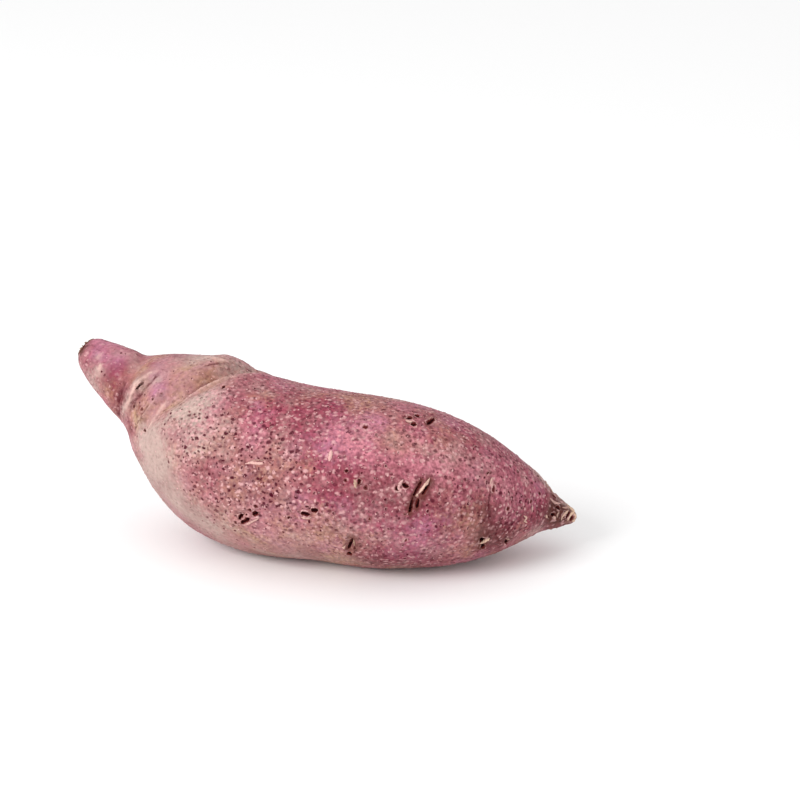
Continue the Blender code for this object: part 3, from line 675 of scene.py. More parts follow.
tones = bpy.data.node_groups.new("Periderm colour", "ShaderNodeTree")
for label, kind in (("Colour", "Color"), ("Height", "Float"), ("Gloss", "Float")):
    tones.interface.new_socket(label, in_out="OUTPUT", socket_type="NodeSocket" + kind)
place = add(tones, "ShaderNodeTexCoord").outputs["Object"]
drifts = add(tones, "ShaderNodeTexNoise", {"Vector": place, "Scale": 1 / DRIFT_SIZE, "Detail": 3.0})
drifts = add(tones, "ShaderNodeSeparateColor", [drifts.outputs["Color"]])
grain = add(tones, "ShaderNodeTexNoise", {"Vector": place, "Scale": 1 / GRAIN_SIZE, "Detail": 2.0})
grain_colours = add(tones, "ShaderNodeSeparateColor", [grain.outputs["Color"]])
calm = add(tones, "ShaderNodeAttribute", attribute_name="calm").outputs["Fac"]
lively = add(tones, "ShaderNodeMapRange", {"Value": calm, "To Min": 1.0, "To Max": CALM_SPECKS})
pitted = add(tones, "ShaderNodeAttribute", attribute_name="pitted").outputs["Fac"]
often = {}
for kind, least in UNPITTED.items():
    share = add(tones, "ShaderNodeMapRange", {"Value": pitted, "To Min": least, "To Max": 1.0})
    often[kind] = add(tones, "ShaderNodeMath", [share, lively], operation="MULTIPLY")
colour = linear(SKIN_MAUVE)
for name, (tone, channel, way, most) in TONES.items():
    amount = add(tones, "ShaderNodeAttribute", attribute_name=name).outputs["Fac"]
    if channel:
        span = {"From Min": NOISE_MIDDLE, "From Max": NOISE_MIDDLE + DRIFT_SPAN * way}
        drift = {"Value": drifts.outputs[channel], **span, "To Max": most}
        drift = add(tones, "ShaderNodeMapRange", drift)
        amount = add(tones, "ShaderNodeMath", [drift, amount], operation="ADD")
        grains = {"Value": grain_colours.outputs[channel], **GRAIN_SPAN, **GRAIN_TINT}
        grains = add(tones, "ShaderNodeMapRange", grains)
        grains = add(tones, "ShaderNodeMath", [grains, lively, 1.0], operation="MULTIPLY_ADD")
        amount = [amount, grains]
        amount = add(tones, "ShaderNodeMath", amount, operation="MULTIPLY", use_clamp=True)
    colour = {"Factor": amount, "A": colour, "B": linear(tone)}
    colour = add(tones, "ShaderNodeMix", colour, data_type="RGBA")
brightness = {"Value": grain, **GRAIN_SPAN, **GRAIN_SHADE}
brightness = add(tones, "ShaderNodeMapRange", brightness)
brightness = add(tones, "ShaderNodeMath", [brightness, lively, 1.0], operation="MULTIPLY_ADD")
colour = {"Vector": colour, "Scale": brightness}
colour = add(tones, "ShaderNodeVectorMath", colour, operation="SCALE")

sway = add(tones, "ShaderNodeTexNoise", {"Vector": place, "Scale": 1 / SWAY_SIZE, "Detail": 1.0})
sway = [sway.outputs["Color"], (NOISE_MIDDLE,) * 3]
sway = add(tones, "ShaderNodeVectorMath", sway, operation="SUBTRACT")
swayed = [sway, (SWAY * 2,) * 3, place]
swayed = add(tones, "ShaderNodeVectorMath", swayed, operation="MULTIPLY_ADD")
height = add(tones, "ShaderNodeMath", [grain, GRAIN_RISE], operation="MULTIPLY")
gloss = SKIN_GLOSS
for kind, spacing, width, shift, rare, strength in SPECKS:
    stretched = [swayed, SPECK_STRETCH, (shift,) * 3]
    stretched = add(tones, "ShaderNodeVectorMath", stretched, operation="MULTIPLY_ADD")
    cells = add(tones, "ShaderNodeTexVoronoi", {"Vector": stretched, "Scale": 1 / (spacing * MM)})
    outer, inner = (share * width / 2 / spacing for share in SPECK_EDGES[kind])
    speck = {"Value": cells.outputs["Distance"], "From Min": outer, "From Max": inner}
    speck = add(tones, "ShaderNodeMapRange", speck, interpolation_type="SMOOTHSTEP")
    chance = add(tones, "ShaderNodeSeparateColor", [cells.outputs["Color"]])
    chosen = {"Value": chance.outputs["Red"], "From Min": rare, "From Max": rare + SPECK_CHANCE}
    chosen = add(tones, "ShaderNodeMapRange", chosen)
    speck = add(tones, "ShaderNodeMath", [speck, chosen], operation="MULTIPLY")
    speck = add(tones, "ShaderNodeMath", [speck, often[kind]], operation="MULTIPLY")
    amount = add(tones, "ShaderNodeMath", [speck, strength], operation="MULTIPLY")
    colour = {"Factor": amount, "A": colour, "B": linear(SPECK_TONES[kind])}
    colour = add(tones, "ShaderNodeMix", colour, data_type="RGBA")
    rise = SPECK_RISE[kind] * width
    height = add(tones, "ShaderNodeMath", [speck, rise, height], operation="MULTIPLY_ADD")
    if kind == "pits":
        shut = add(tones, "ShaderNodeMath", [1.0, speck], operation="SUBTRACT", use_clamp=True)
        gloss = add(tones, "ShaderNodeMath", [gloss, shut], operation="MULTIPLY")
add(tones, "NodeGroupOutput", [colour, height, gloss])

# Bands of colour across a fold's line, in mm, and across a mark, in its half widths: where each
# begins and where it is full. The lip's is measured from the middle of the lip.
BANDS = {
    "crease": (0.75 * MM, 0.1 * MM),
    "pale fold": (1.5 * MM, 0.2 * MM),
    "lip": (0.85, 0.1),
    "wall": (1.65, 1.0),
    "floor": (0.95, 0.45),
}
LIP_MIDDLE = 2.0
LIP_WORN = {"From Min": -0.14, "From Max": 0.06, "To Min": 0.25}
RAGGED_SIZE = 0.9 * MM
FOLD_RAGGED = 1.2 * MM
MARK_RAGGED = 1.1
BREAK_SIZE = 2.4 * MM
BREAKS = {"From Min": 0.38, "From Max": 0.58, "To Min": 0.35, "To Max": 1.0}
FINE_SIZE = 0.6 * MM
FINE_RISE = 0.1
SKIN_ROUGHNESS = {"To Min": 0.4, "To Max": 0.6}


def new_finish(name):
    """A new material and its empty tree."""
    material = bpy.data.materials.new(name)
    material.use_nodes = True
    material.node_tree.nodes.clear()
    return material, material.node_tree


cork_skin, cork = new_finish("periderm, washed and dried")
skin_tone = add(cork, "ShaderNodeGroup", node_tree=tones)
place = add(cork, "ShaderNodeTexCoord").outputs["Object"]
carried = {
    name: add(cork, "ShaderNodeAttribute", attribute_name=name).outputs["Fac"]
    for name in ("fold_across", "fold_tint", "mark_share", "mark_dark", "mark_pale", "stain")
}
ragged = add(cork, "ShaderNodeTexNoise", {"Vector": place, "Scale": 1 / RAGGED_SIZE, "Detail": 2.0})
ragged = add(cork, "ShaderNodeMath", [ragged, NOISE_MIDDLE], operation="SUBTRACT")
line = [ragged, FOLD_RAGGED, carried["fold_across"]]
line = add(cork, "ShaderNodeMath", line, operation="MULTIPLY_ADD")
line = add(cork, "ShaderNodeMath", [line], operation="ABSOLUTE")
across_mark = [ragged, MARK_RAGGED, carried["mark_share"]]
across_mark = add(cork, "ShaderNodeMath", across_mark, operation="MULTIPLY_ADD")
from_lip = add(cork, "ShaderNodeMath", [across_mark, LIP_MIDDLE], operation="SUBTRACT")
from_lip = add(cork, "ShaderNodeMath", [from_lip], operation="ABSOLUTE")
bands = {
    "crease": line,
    "pale fold": line,
    "lip": from_lip,
    "wall": across_mark,
    "floor": across_mark,
}
for name, (edge, full) in BANDS.items():
    band = {"Value": bands[name], "From Min": edge, "From Max": full}
    bands[name] = add(cork, "ShaderNodeMapRange", band, interpolation_type="SMOOTHSTEP")
worn = add(cork, "ShaderNodeMapRange", {"Value": ragged, **LIP_WORN})
bands["lip"] = add(cork, "ShaderNodeMath", [bands["lip"], worn], operation="MULTIPLY")
broken = add(cork, "ShaderNodeTexNoise", {"Vector": place, "Scale": 1 / BREAK_SIZE, "Detail": 2.0})
broken = add(cork, "ShaderNodeMapRange", {"Value": broken, **BREAKS})
for name in ("crease", "pale fold", "lip"):
    bands[name] = add(cork, "ShaderNodeMath", [bands[name], broken], operation="MULTIPLY")
folded = {}
for name, way in (("dark", -1.0), ("pale", 1.0)):
    tint = [carried["fold_tint"], way]
    folded[name] = add(cork, "ShaderNodeMath", tint, operation="MULTIPLY", use_clamp=True)
colour = skin_tone.outputs["Colour"]
# The crease band is painted shade in the folds, the pale fold band pale cork with a painted
# highlight.
for band, amount, tone in (
    (carried["stain"], carried["mark_dark"], SCAR_STAIN),
    (bands["crease"], folded["dark"], CREASE_SHADE),
    (bands["pale fold"], folded["pale"], FOLD_PALE_AND_HIGHLIGHT),
    (bands["lip"], carried["mark_pale"], SCAR_LIP),
    # The wall and floor are dark scar tissue, partly painted shade in the hollow.
    (bands["wall"], carried["mark_dark"], SCAR_WALL),
    (bands["floor"], carried["mark_dark"], SCAR_FLOOR),
):
    share = add(cork, "ShaderNodeMath", [band, amount], operation="MULTIPLY", use_clamp=True)
    colour = {"Factor": share, "A": colour, "B": linear(tone)}
    colour = add(cork, "ShaderNodeMix", colour, data_type="RGBA")
fine = add(cork, "ShaderNodeTexNoise", {"Vector": place, "Scale": 1 / FINE_SIZE, "Detail": 2.0})
height = [fine, FINE_RISE, skin_tone.outputs["Height"]]
height = add(cork, "ShaderNodeMath", height, operation="MULTIPLY_ADD")
bump = add(cork, "ShaderNodeBump", {"Height": height, "Strength": 1.0, "Distance": 1 * MM})
roughness = add(cork, "ShaderNodeMapRange", {"Value": fine, **GRAIN_SPAN, **SKIN_ROUGHNESS})
gloss = [bands["wall"], carried["mark_dark"]]
gloss = add(cork, "ShaderNodeMath", gloss, operation="MULTIPLY")
gloss = add(cork, "ShaderNodeMath", [1.0, gloss], operation="SUBTRACT", use_clamp=True)
gloss = add(cork, "ShaderNodeMath", [gloss, skin_tone.outputs["Gloss"]], operation="MULTIPLY")
surface = {"Base Color": colour, "Roughness": roughness, "Normal": bump}
surface = add(cork, "ShaderNodeBsdfPrincipled", {**surface, "Specular IOR Level": gloss})
surface.inputs["IOR"].default_value = 1.45
add(cork, "ShaderNodeOutputMaterial", {"Surface": surface})

end_tree(relief, geometry, cork_skin)
skin = bpy.data.objects.new("skin", skin_mesh)
finer = skin.modifiers.new("finer", "SUBSURF")
finer.levels = FINER_LEVELS
finer.render_levels = FINER_LEVELS
grow(skin, relief, {**SKIN_RELIEF, "Folds": folds, "Marks": marks})
for helper in (folds, marks):
    bpy.data.objects.remove(helper)
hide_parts("sweet_potato")
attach(skin, "root")

# Lenticels: the pores that the skin breathes through. Each is a little ring of raised cork round a
# dark hole, half a millimetre to one and a half across, lying mostly across the root. Some holes
# have closed.
PORE_RINGS = ((1.0, -0.25, 1.0), (0.72, 0.2, 0.8), (0.4, 0.03, 0.1))
PORE_MIDDLE = 0.02
PORE_SIDES = 7
PORE_SEED = 11
UNPITTED_PORES = 0.32
LENTICELS = {
    "Spacing": 1.6 * MM,
    "Crowding": 250000.0,
    "Smallest": 0.3 * MM,
    "Largest": 0.78 * MM,
    "Stretch": 1.7,
    "Turn": 0.9,
}
# Raised cork keeps off the marks, by their half widths, and off dried skin and its painted
# shade. It is rarer on calm skin, and most of it is small.
CLEAR_OF_MARKS = 2.3
MOST_DRIED_AND_SHADE = 0.45
CALM_CORK = 0.25
SMALL_ONES = 2.6
LEAST_OPENED = 0.6


def button(name, rings, middle, sides):
    """A small round shape of rings with radius, height and bore, closed by a middle point."""
    places, bores, faces = [], [], []
    for radius, height, bore in rings:
        for i in range(sides):
            angle = math.tau * i / sides
            places.append((radius * math.cos(angle), radius * math.sin(angle), height))
            bores.append(bore)
    places.append((0, 0, middle))
    bores.append(0.0)
    for ring in range(len(rings) - 1):
        for i in range(sides):
            a, b = ring * sides + i, ring * sides + (i + 1) % sides
            faces.append((a, b, b + sides, a + sides))
    last = (len(rings) - 1) * sides
    faces += [(last + i, last + (i + 1) % sides, len(places) - 1) for i in range(sides)]
    mesh = bpy.data.meshes.new(name)
    mesh.from_pydata(places, [], faces)
    mesh.attributes.new("bore", "FLOAT", "POINT").data.foreach_set("value", bores)
    return bpy.data.objects.new(name, mesh)


def scattered(name, sizes, material, seed, unpitted=1.0):
    """A tree that scatters a shape over the skin, turned mostly one way, fewer where unpitted."""
    tree, given = new_tree(name, sizes, ("Shape",))
    carried = {
        label: add(tree, "GeometryNodeInputNamedAttribute", {"Name": label}, data_type="FLOAT")
        for label in ("mark_share", "dried", "calm", "pitted")
    }
    clear = [carried["mark_share"], CLEAR_OF_MARKS]
    clear = add(tree, "ShaderNodeMath", clear, operation="GREATER_THAN")
    supple = add(tree, "ShaderNodeMath", [carried["dried"], MOST_DRIED_AND_SHADE], operation="LESS_THAN")
    clear = add(tree, "ShaderNodeMath", [clear, supple], operation="MULTIPLY")
    often = {"Value": carried["calm"], "To Min": 1.0, "To Max": CALM_CORK}
    often = add(tree, "ShaderNodeMapRange", often)
    often = add(tree, "ShaderNodeMath", [often, clear], operation="MULTIPLY")
    pitted = {"Value": carried["pitted"], "To Min": unpitted, "To Max": 1.0}
    pitted = add(tree, "ShaderNodeMapRange", pitted)
    often = add(tree, "ShaderNodeMath", [often, pitted], operation="MULTIPLY")
    points = {
        "Mesh": given["Geometry"],
        "Distance Min": given["Spacing"],
        "Density Max": given["Crowding"],
        "Density Factor": often,
        "Seed": seed,
    }
    points = add(tree, "GeometryNodeDistributePointsOnFaces", points, distribute_method="POISSON")
    chance = {}
    for label, least, most, shift in (
        ("opened", LEAST_OPENED, 1.0, 4),
        ("size", 0.0, 1.0, 2),
        ("longer", 1.0, given["Stretch"], 3),
    ):
        drawn = {"Min": least, "Max": most, "Seed": seed + shift}
        chance[label] = add(tree, "FunctionNodeRandomValue", drawn, data_type="FLOAT")
    # How far a pore is open. Only the lenticels' material reads it.
    placed = {"Geometry": points, "Name": "opened", "Value": chance["opened"]}
    placed = add(tree, "GeometryNodeStoreNamedAttribute", placed, data_type="FLOAT", domain="POINT")
    around = [points.outputs["Normal"], (1, 0, 0)]
    around = add(tree, "ShaderNodeVectorMath", around, operation="CROSS_PRODUCT")
    laid = {"Rotation": points.outputs["Rotation"], "Vector": around}
    laid = add(tree, "FunctionNodeAlignRotationToVector", laid, axis="X", pivot_axis="Z")
    back = add(tree, "ShaderNodeMath", [given["Turn"], -1.0], operation="MULTIPLY")
    turn = {"Min": back, "Max": given["Turn"], "Seed": seed + 1}
    turn = add(tree, "FunctionNodeRandomValue", turn, data_type="FLOAT")
    turn = add(tree, "FunctionNodeAxisAngleToRotation", {"Axis": (0, 0, 1), "Angle": turn})
    laid = {"Rotation": laid, "Rotate By": turn}
    laid = add(tree, "FunctionNodeRotateRotation", laid, rotation_space="LOCAL")
    size = add(tree, "ShaderNodeMath", [chance["size"], SMALL_ONES], operation="POWER")
    size = {"Value": size, "To Min": given["Smallest"], "To Max": given["Largest"]}
    size = add(tree, "ShaderNodeMapRange", size)
    longer = add(tree, "ShaderNodeMath", [chance["longer"], size], operation="MULTIPLY")
    scale = add(tree, "ShaderNodeCombineXYZ", [longer, size, size])
    shape = add(tree, "GeometryNodeObjectInfo", [given["Shape"]]).outputs["Geometry"]
    laid = {"Points": placed, "Instance": shape, "Rotation": laid, "Scale": scale}
    end_tree(tree, add(tree, "GeometryNodeInstanceOnPoints", laid), material)
    return tree


def raised_cork(name, tone, rub_size, paler_top, crown):
    """A material in the skin's own colour, paler on top where rubbed, with its tree and parts.
    On the flecks, that paler top is partly a painted highlight.
    """
    material, tree = new_finish(name)
    skin_tone = add(tree, "ShaderNodeGroup", node_tree=tones)
    bore = add(tree, "ShaderNodeAttribute", attribute_name="bore").outputs["Fac"]
    place = add(tree, "ShaderNodeTexCoord").outputs["Object"]
    uneven = {"Vector": place, "Scale": 1 / rub_size, "Detail": 1.0}
    uneven = add(tree, "ShaderNodeTexNoise", uneven)
    paler_top = add(tree, "ShaderNodeMapRange", {"Value": uneven, **paler_top})
    top = add(tree, "ShaderNodeMapRange", {"Value": bore, "From Min": 1.0, "From Max": crown})
    top = add(tree, "ShaderNodeMath", [top, paler_top], operation="MULTIPLY")
    colour = {"Factor": top, "A": skin_tone.outputs["Colour"], "B": linear(tone)}
    colour = add(tree, "ShaderNodeMix", colour, data_type="RGBA")
    return material, tree, bore, colour


# Lenticel cork: dry and matt, the skin's own colour at the skirt, paler at the ring where it is
# rubbed, and nearly black in the hole, which is partly painted shade.
LENTICEL_RING = "#CB9D9A"
LENTICEL_HOLE = "#4A0B1D"
RING_RUBBED = {"From Min": 0.42, "From Max": 0.66, "To Min": 0.0, "To Max": 0.75}
RING_RUB_SIZE = 1.4 * MM
RING_BORE = 0.8
HOLE_BORE = 0.3
lenticel_cork, pore, bore, colour = raised_cork(
    "lenticel cork", LENTICEL_RING, RING_RUB_SIZE, RING_RUBBED, RING_BORE
)
hole = {"Value": bore, "From Min": RING_BORE, "From Max": HOLE_BORE}
hole = add(pore, "ShaderNodeMapRange", hole, interpolation_type="SMOOTHSTEP")
opened = add(pore, "ShaderNodeAttribute", attribute_name="opened").outputs["Fac"]
hole = add(pore, "ShaderNodeMath", [hole, opened], operation="MULTIPLY")
colour = {"Factor": hole, "A": colour, "B": linear(LENTICEL_HOLE)}
colour = add(pore, "ShaderNodeMix", colour, data_type="RGBA")
surface = add(pore, "ShaderNodeBsdfPrincipled", {"Base Color": colour, "Roughness": 0.7})
surface.inputs["Specular IOR Level"].default_value = 0.05
add(pore, "ShaderNodeOutputMaterial", {"Surface": surface})

pore_shape = button("pore", PORE_RINGS, PORE_MIDDLE, PORE_SIDES)
lenticels = bpy.data.objects.new("lenticels", skin.data)
strewn = scattered("Lenticels", LENTICELS, lenticel_cork, PORE_SEED, UNPITTED_PORES)
grow(lenticels, strewn, {**LENTICELS, "Shape": pore_shape})
bpy.data.objects.remove(pore_shape)
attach(lenticels, "root")

# Corky flecks: dots of dead cork left raised on the skin where it stretched, pale pink and dry,
# half a millimetre to one across, with no hole in them. Their pale is partly a painted highlight.
FLECK_RINGS = ((1.0, -0.2, 1.0), (0.62, 0.2, 0.6))
FLECK_MIDDLE = 0.3
FLECK_SIDES = 6
FLECK_SEED = 47
FLECKS = {
    "Spacing": 1.7 * MM,
    "Crowding": 170000.0,
    "Smallest": 0.2 * MM,
    "Largest": 0.56 * MM,
    "Stretch": 2.2,
    "Turn": 1.2,
}
FLECK_PALE_AND_HIGHLIGHT = "#D0A0A0"
FLECK_RUBBED_AND_HIGHLIGHT = {"From Min": 0.38, "From Max": 0.6, "To Min": 0.25, "To Max": 1.0}
FLECK_RUB_SIZE = 1.2 * MM
FLECK_BORE = 0.5
fleck_cork, fleck, _, colour = raised_cork(
    "dead cork", FLECK_PALE_AND_HIGHLIGHT, FLECK_RUB_SIZE, FLECK_RUBBED_AND_HIGHLIGHT, FLECK_BORE
)
surface = add(fleck, "ShaderNodeBsdfPrincipled", {"Base Color": colour, "Roughness": 0.65})
surface.inputs["Specular IOR Level"].default_value = 0.15
add(fleck, "ShaderNodeOutputMaterial", {"Surface": surface})

fleck_shape = button("fleck", FLECK_RINGS, FLECK_MIDDLE, FLECK_SIDES)
flecks = bpy.data.objects.new("corky_flecks", skin.data)
strewn = scattered("Corky flecks", FLECKS, fleck_cork, FLECK_SEED)
grow(flecks, strewn, {**FLECKS, "Shape": fleck_shape})
bpy.data.objects.remove(fleck_shape)
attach(flecks, "root")

# Torn cork: slivers of dry skin left standing in and beside the scars, cream where the tear is
# fresh, pink where skin still covers it and brown where it is old. Each tapers to both ends.
# A row says where it runs, half its width and its lift in mm, how cream and how pink it is.
SLIVERS = {
    seen_at: (
        (((429.6, 478), (426.4, 483.4), (422.4, 489), (418.4, 494.4)), 0.62, 0.15, 1.0, 0.5),
        (((418.6, 493.6), (416, 497)), 0.9, 0.15, 1.0, 0.5),
        (((416.2, 499), (414.6, 503), (413.2, 508)), 0.25, 0.0, 0.6, 0.3),
        (((478.8, 543.4), (482, 542.2), (486, 540.2), (489.6, 537.8)), 0.6, 0.2, 1.0, 0.2),
        (((486.4, 538.6), (488.8, 540.6)), 0.45, 0.15, 0.9, 0.2),
        (((345.4, 545), (343.6, 547.4), (344.4, 549)), 0.55, 0.1, 0.85, 0.6),
        (((354, 539.6), (354.4, 545.6)), 0.4, 0.05, 0.35, 0.0),
        (((245, 463.7), (251, 462.5), (258, 463.5), (264.5, 463.2)), 0.62, -0.1, 0.95, 0.8),
        (((249.6, 460.8), (257, 460), (264, 460.4)), 0.2, 0.0, 0.5, 0.6),
        (((331.4, 449.6), (330.4, 455), (329, 461.8)), 0.8, -0.15, 0.95, 0.9),
        (((354, 477.6), (355, 482), (355.2, 488.4)), 0.75, -0.1, 0.6, 0.2),
        (((242.4, 525.4), (247, 524.2), (252, 521.6), (259, 518.2)), 0.42, 0.1, 0.9, 0.8),
        (((301, 517.2), (306, 518.4), (311.4, 517.6)), 0.46, 0.0, 0.85, 0.7),
        (((403.4, 479.4), (400.6, 482.6), (398.6, 487), (399.4, 491.6)), 0.62, 0.05, 0.9, 1.0),
        (((405.5, 420.6), (409, 422), (413, 421.8)), 0.5, 0.1, 0.9, 0.7),
        (((427, 420.4), (431, 417.4), (433.4, 416.2)), 0.35, 0.05, 0.45, 0.5),
        (((493, 475.6), (491.2, 481), (489.4, 487.6)), 0.36, 0.0, 0.8, 0.7),
        (((505.8, 537.8), (509.4, 539.6)), 0.35, 0.1, 0.8, 0.5),
        (((263.4, 546.6), (269, 549)), 0.3, 0.0, 0.7, 0.7),
        (((532.4, 504.6), (532.2, 512.4)), 0.42, 0.0, 0.8, 0.9),
        (((523.6, 515.6), (526.8, 517.6), (524.6, 521), (527.4, 523)), 0.42, 0.0, 0.85, 0.5),
    ),
    turned_to: (
        (((-31, -73), (-27, -86), (-25, -94)), 0.4, 0.1, 0.9, 0.3),
        (((27, -86), (30, -98)), 0.4, 0.1, 0.9, 0.3),
        (((3, -49), (5, -57)), 0.35, 0.1, 0.6, 0.3),
        (((-12, -112), (-2, -114)), 0.3, 0.0, 0.6, 0.6),
        (((40, -60), (46, -58)), 0.3, 0.0, 0.7, 0.6),
    ),
}
SLIVER_STEP = 0.3 * MM
STRAND_SIDES = 7
STRAND_TAPER = 2.5
STRANDS = {"Flatness": 0.5, "Rough Size": 0.8 * MM, "Roughness": 0.9}


def strand_rows(trail, half_width, lift, tone, pink=0.0, ends=0.15):
    """The points of one strand, thinner towards both ends."""
    rows = []
    for i, (place, outward) in enumerate(trail):
        share = i / (len(trail) - 1)
        swell = ends + (1 - ends) * (1 - abs(2 * share - 1) ** STRAND_TAPER)
        rows.append(
            {
                "place": place + outward * lift * MM,
                "outward": outward,
                "half_width": half_width * MM * swell,
                "tone": tone,
                "pink": pink,
            }
        )
    return rows


def strung(name, runs):
    """Runs of strand points as one object, each run joined from end to end."""
    rows = [row for run in runs for row in run]
    edges, start = [], 0
    for run in runs:
        edges += [(i, i + 1) for i in range(start, start + len(run) - 1)]
        start += len(run)
    return spots(name, rows, edges)


# Dry torn cork and fibre: matt and straw-coloured, browner at its sides as painted shade, with
# a grain of about half a millimetre, drawn coarser than life so that it shows.
FIBRE_CREAM = "#E0BFA4"
FIBRE_PINK = "#D8A9A6"
FIBRE_BROWN_AND_SHADE = "#532722"
FIBRE_GRAIN = 0.55 * MM
FIBRE_DRIFT = 1.1
CREST_EDGES = (0.05, 0.85)
HOLLOW_SHARE = 0.3
dry_fibre, fibre = new_finish("dry torn fibre")
place = add(fibre, "ShaderNodeTexCoord").outputs["Object"]
tone = add(fibre, "ShaderNodeAttribute", attribute_name="tone").outputs["Fac"]
streak = {"Vector": place, "Scale": 1 / FIBRE_GRAIN, "Detail": 2.0}
streak = add(fibre, "ShaderNodeTexNoise", streak)
drift = add(fibre, "ShaderNodeMath", [streak, NOISE_MIDDLE], operation="SUBTRACT")
tone = [drift, FIBRE_DRIFT, tone]
tone = add(fibre, "ShaderNodeMath", tone, operation="MULTIPLY_ADD", use_clamp=True)
crest = add(fibre, "ShaderNodeAttribute", attribute_name="crest").outputs["Fac"]
crest = add(fibre, "ShaderNodeMapRange", {"Value": crest, "To Min": HOLLOW_SHARE})
tone = add(fibre, "ShaderNodeMath", [tone, crest], operation="MULTIPLY")
pink = add(fibre, "ShaderNodeAttribute", attribute_name="pink").outputs["Fac"]
colour = {"Factor": pink, "A": linear(FIBRE_CREAM), "B": linear(FIBRE_PINK)}
colour = add(fibre, "ShaderNodeMix", colour, data_type="RGBA")
colour = {"Factor": tone, "A": linear(FIBRE_BROWN_AND_SHADE), "B": colour}
colour = add(fibre, "ShaderNodeMix", colour, data_type="RGBA")
bump = add(fibre, "ShaderNodeBump", {"Height": streak, "Strength": 0.8, "Distance": 0.15 * MM})
surface = {"Base Color": colour, "Roughness": 0.8, "Normal": bump}
surface = add(fibre, "ShaderNodeBsdfPrincipled", surface)
surface.inputs["Specular IOR Level"].default_value = 0.1
add(fibre, "ShaderNodeOutputMaterial", {"Surface": surface})

laid, given = new_tree("Laid strands", STRANDS)
curve = add(laid, "GeometryNodeMeshToCurve", {"Mesh": given["Geometry"]})
outward = {"Name": "outward"}
outward = add(laid, "GeometryNodeInputNamedAttribute", outward, data_type="FLOAT_VECTOR")
curve = {"Curve": curve, "Normal": outward}
curve = add(laid, "GeometryNodeSetCurveNormal", curve, mode="FREE")
half_width = add(laid, "GeometryNodeInputNamedAttribute", {"Name": "half_width"}, data_type="FLOAT")
rough_scale = add(laid, "ShaderNodeMath", [1.0, given["Rough Size"]], operation="DIVIDE")
here = add(laid, "GeometryNodeInputPosition")
rough = add(laid, "ShaderNodeTexNoise", {"Vector": here, "Scale": rough_scale, "Detail": 1.0})
rough = add(laid, "ShaderNodeMath", [rough, NOISE_MIDDLE], operation="SUBTRACT")
rough = add(laid, "ShaderNodeMath", [rough, given["Roughness"]], operation="MULTIPLY")
rough = add(laid, "ShaderNodeMath", [rough, 2.0, 1.0], operation="MULTIPLY_ADD")
width = add(laid, "ShaderNodeMath", [half_width, rough], operation="MULTIPLY")
round_edge = {"Resolution": STRAND_SIDES, "Radius": 1.0}
round_edge = add(laid, "GeometryNodeCurvePrimitiveCircle", round_edge)
flat = add(laid, "ShaderNodeCombineXYZ", [given["Flatness"], 1.0, 1.0])
round_edge = add(laid, "GeometryNodeTransform", {"Geometry": round_edge, "Scale": flat})
tube = {"Curve": curve, "Profile Curve": round_edge, "Scale": width, "Fill Caps": True}
tube = add(laid, "GeometryNodeCurveToMesh", tube)
# How far each face of a strand turns outward. The fibre material paints the faces that turn aside
# browner, a painted shade, so the neck's stubs, which turn outward up the neck, are darker below.
faced = add(laid, "GeometryNodeInputNormal")
crest = add(laid, "ShaderNodeVectorMath", [faced, outward], operation="DOT_PRODUCT")
crest = {"Value": crest.outputs["Value"], "From Min": CREST_EDGES[0], "From Max": CREST_EDGES[1]}
crest = add(laid, "ShaderNodeMapRange", crest)
tube = {"Geometry": tube, "Name": "crest", "Value": crest}
tube = add(laid, "GeometryNodeStoreNamedAttribute", tube, data_type="FLOAT", domain="POINT")
end_tree(laid, tube, dry_fibre)

sliver_runs = [
    strand_rows(walk(find, path, SLIVER_STEP), half_width, lift, tone, pink)
    for find, path, half_width, lift, tone, pink in each(SLIVERS)
]
slivers = strung("scar_slivers", sliver_runs)
grow(slivers, laid, STRANDS)
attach(slivers, "root")

# Neck end: where the root was snapped from the vine. The broken face has dried hard, with a ragged
# dark edge of skin round it and the ends of the woody strands standing out of it.
NECK_END = Vector((-87.8, 36.1, 64.3)) * MM
NECK_AXIS = Vector((-0.74, 0.37, 0.56)).normalized()
NECK_OUT = 4 * MM
NECK_STUBS = 19
NECK_FACE = 3.3
GOLDEN_TURN = 2.4
STUB_LEAN = 0.4
STUB_REACH = (0.4, 0.9)
STUB_STEPS = (-0.5, 0, 0.35, 0.6)
STUB_WIDTH = (0.35, 0.6)
STUB_TONE = (0.1, 0.8)
STUB_ENDS = 0.6
NECK_FLAPS = 7
NECK_RIM = 3.9
RIM_SWAY = 0.15
FLAP_STEPS = 12
FLAP_STEP = 0.1
FLAP_WIDTH = (0.45, 0.6)
FLAP_TONE = (0.0, 0.3)
FLAP_ENDS = 0.5
STRAND_SEED = 5
draw = random.Random(STRAND_SEED)
neck_side = NECK_AXIS.cross(Vector((0, 0, 1))).normalized()
neck_up = neck_side.cross(NECK_AXIS)


def on_neck_end(radius, angle):
    """The place on the broken face at a radius in mm and an angle round it, and the way out."""
    aside = neck_side * math.cos(angle) + neck_up * math.sin(angle)
    start = NECK_END + NECK_AXIS * NECK_OUT + aside * radius * MM
    place, outward, _, _ = root_body.ray_cast(start, -NECK_AXIS)
    if place is None:
        place, outward, _, _ = root_body.find_nearest(start - NECK_AXIS * NECK_OUT)
    return place, outward


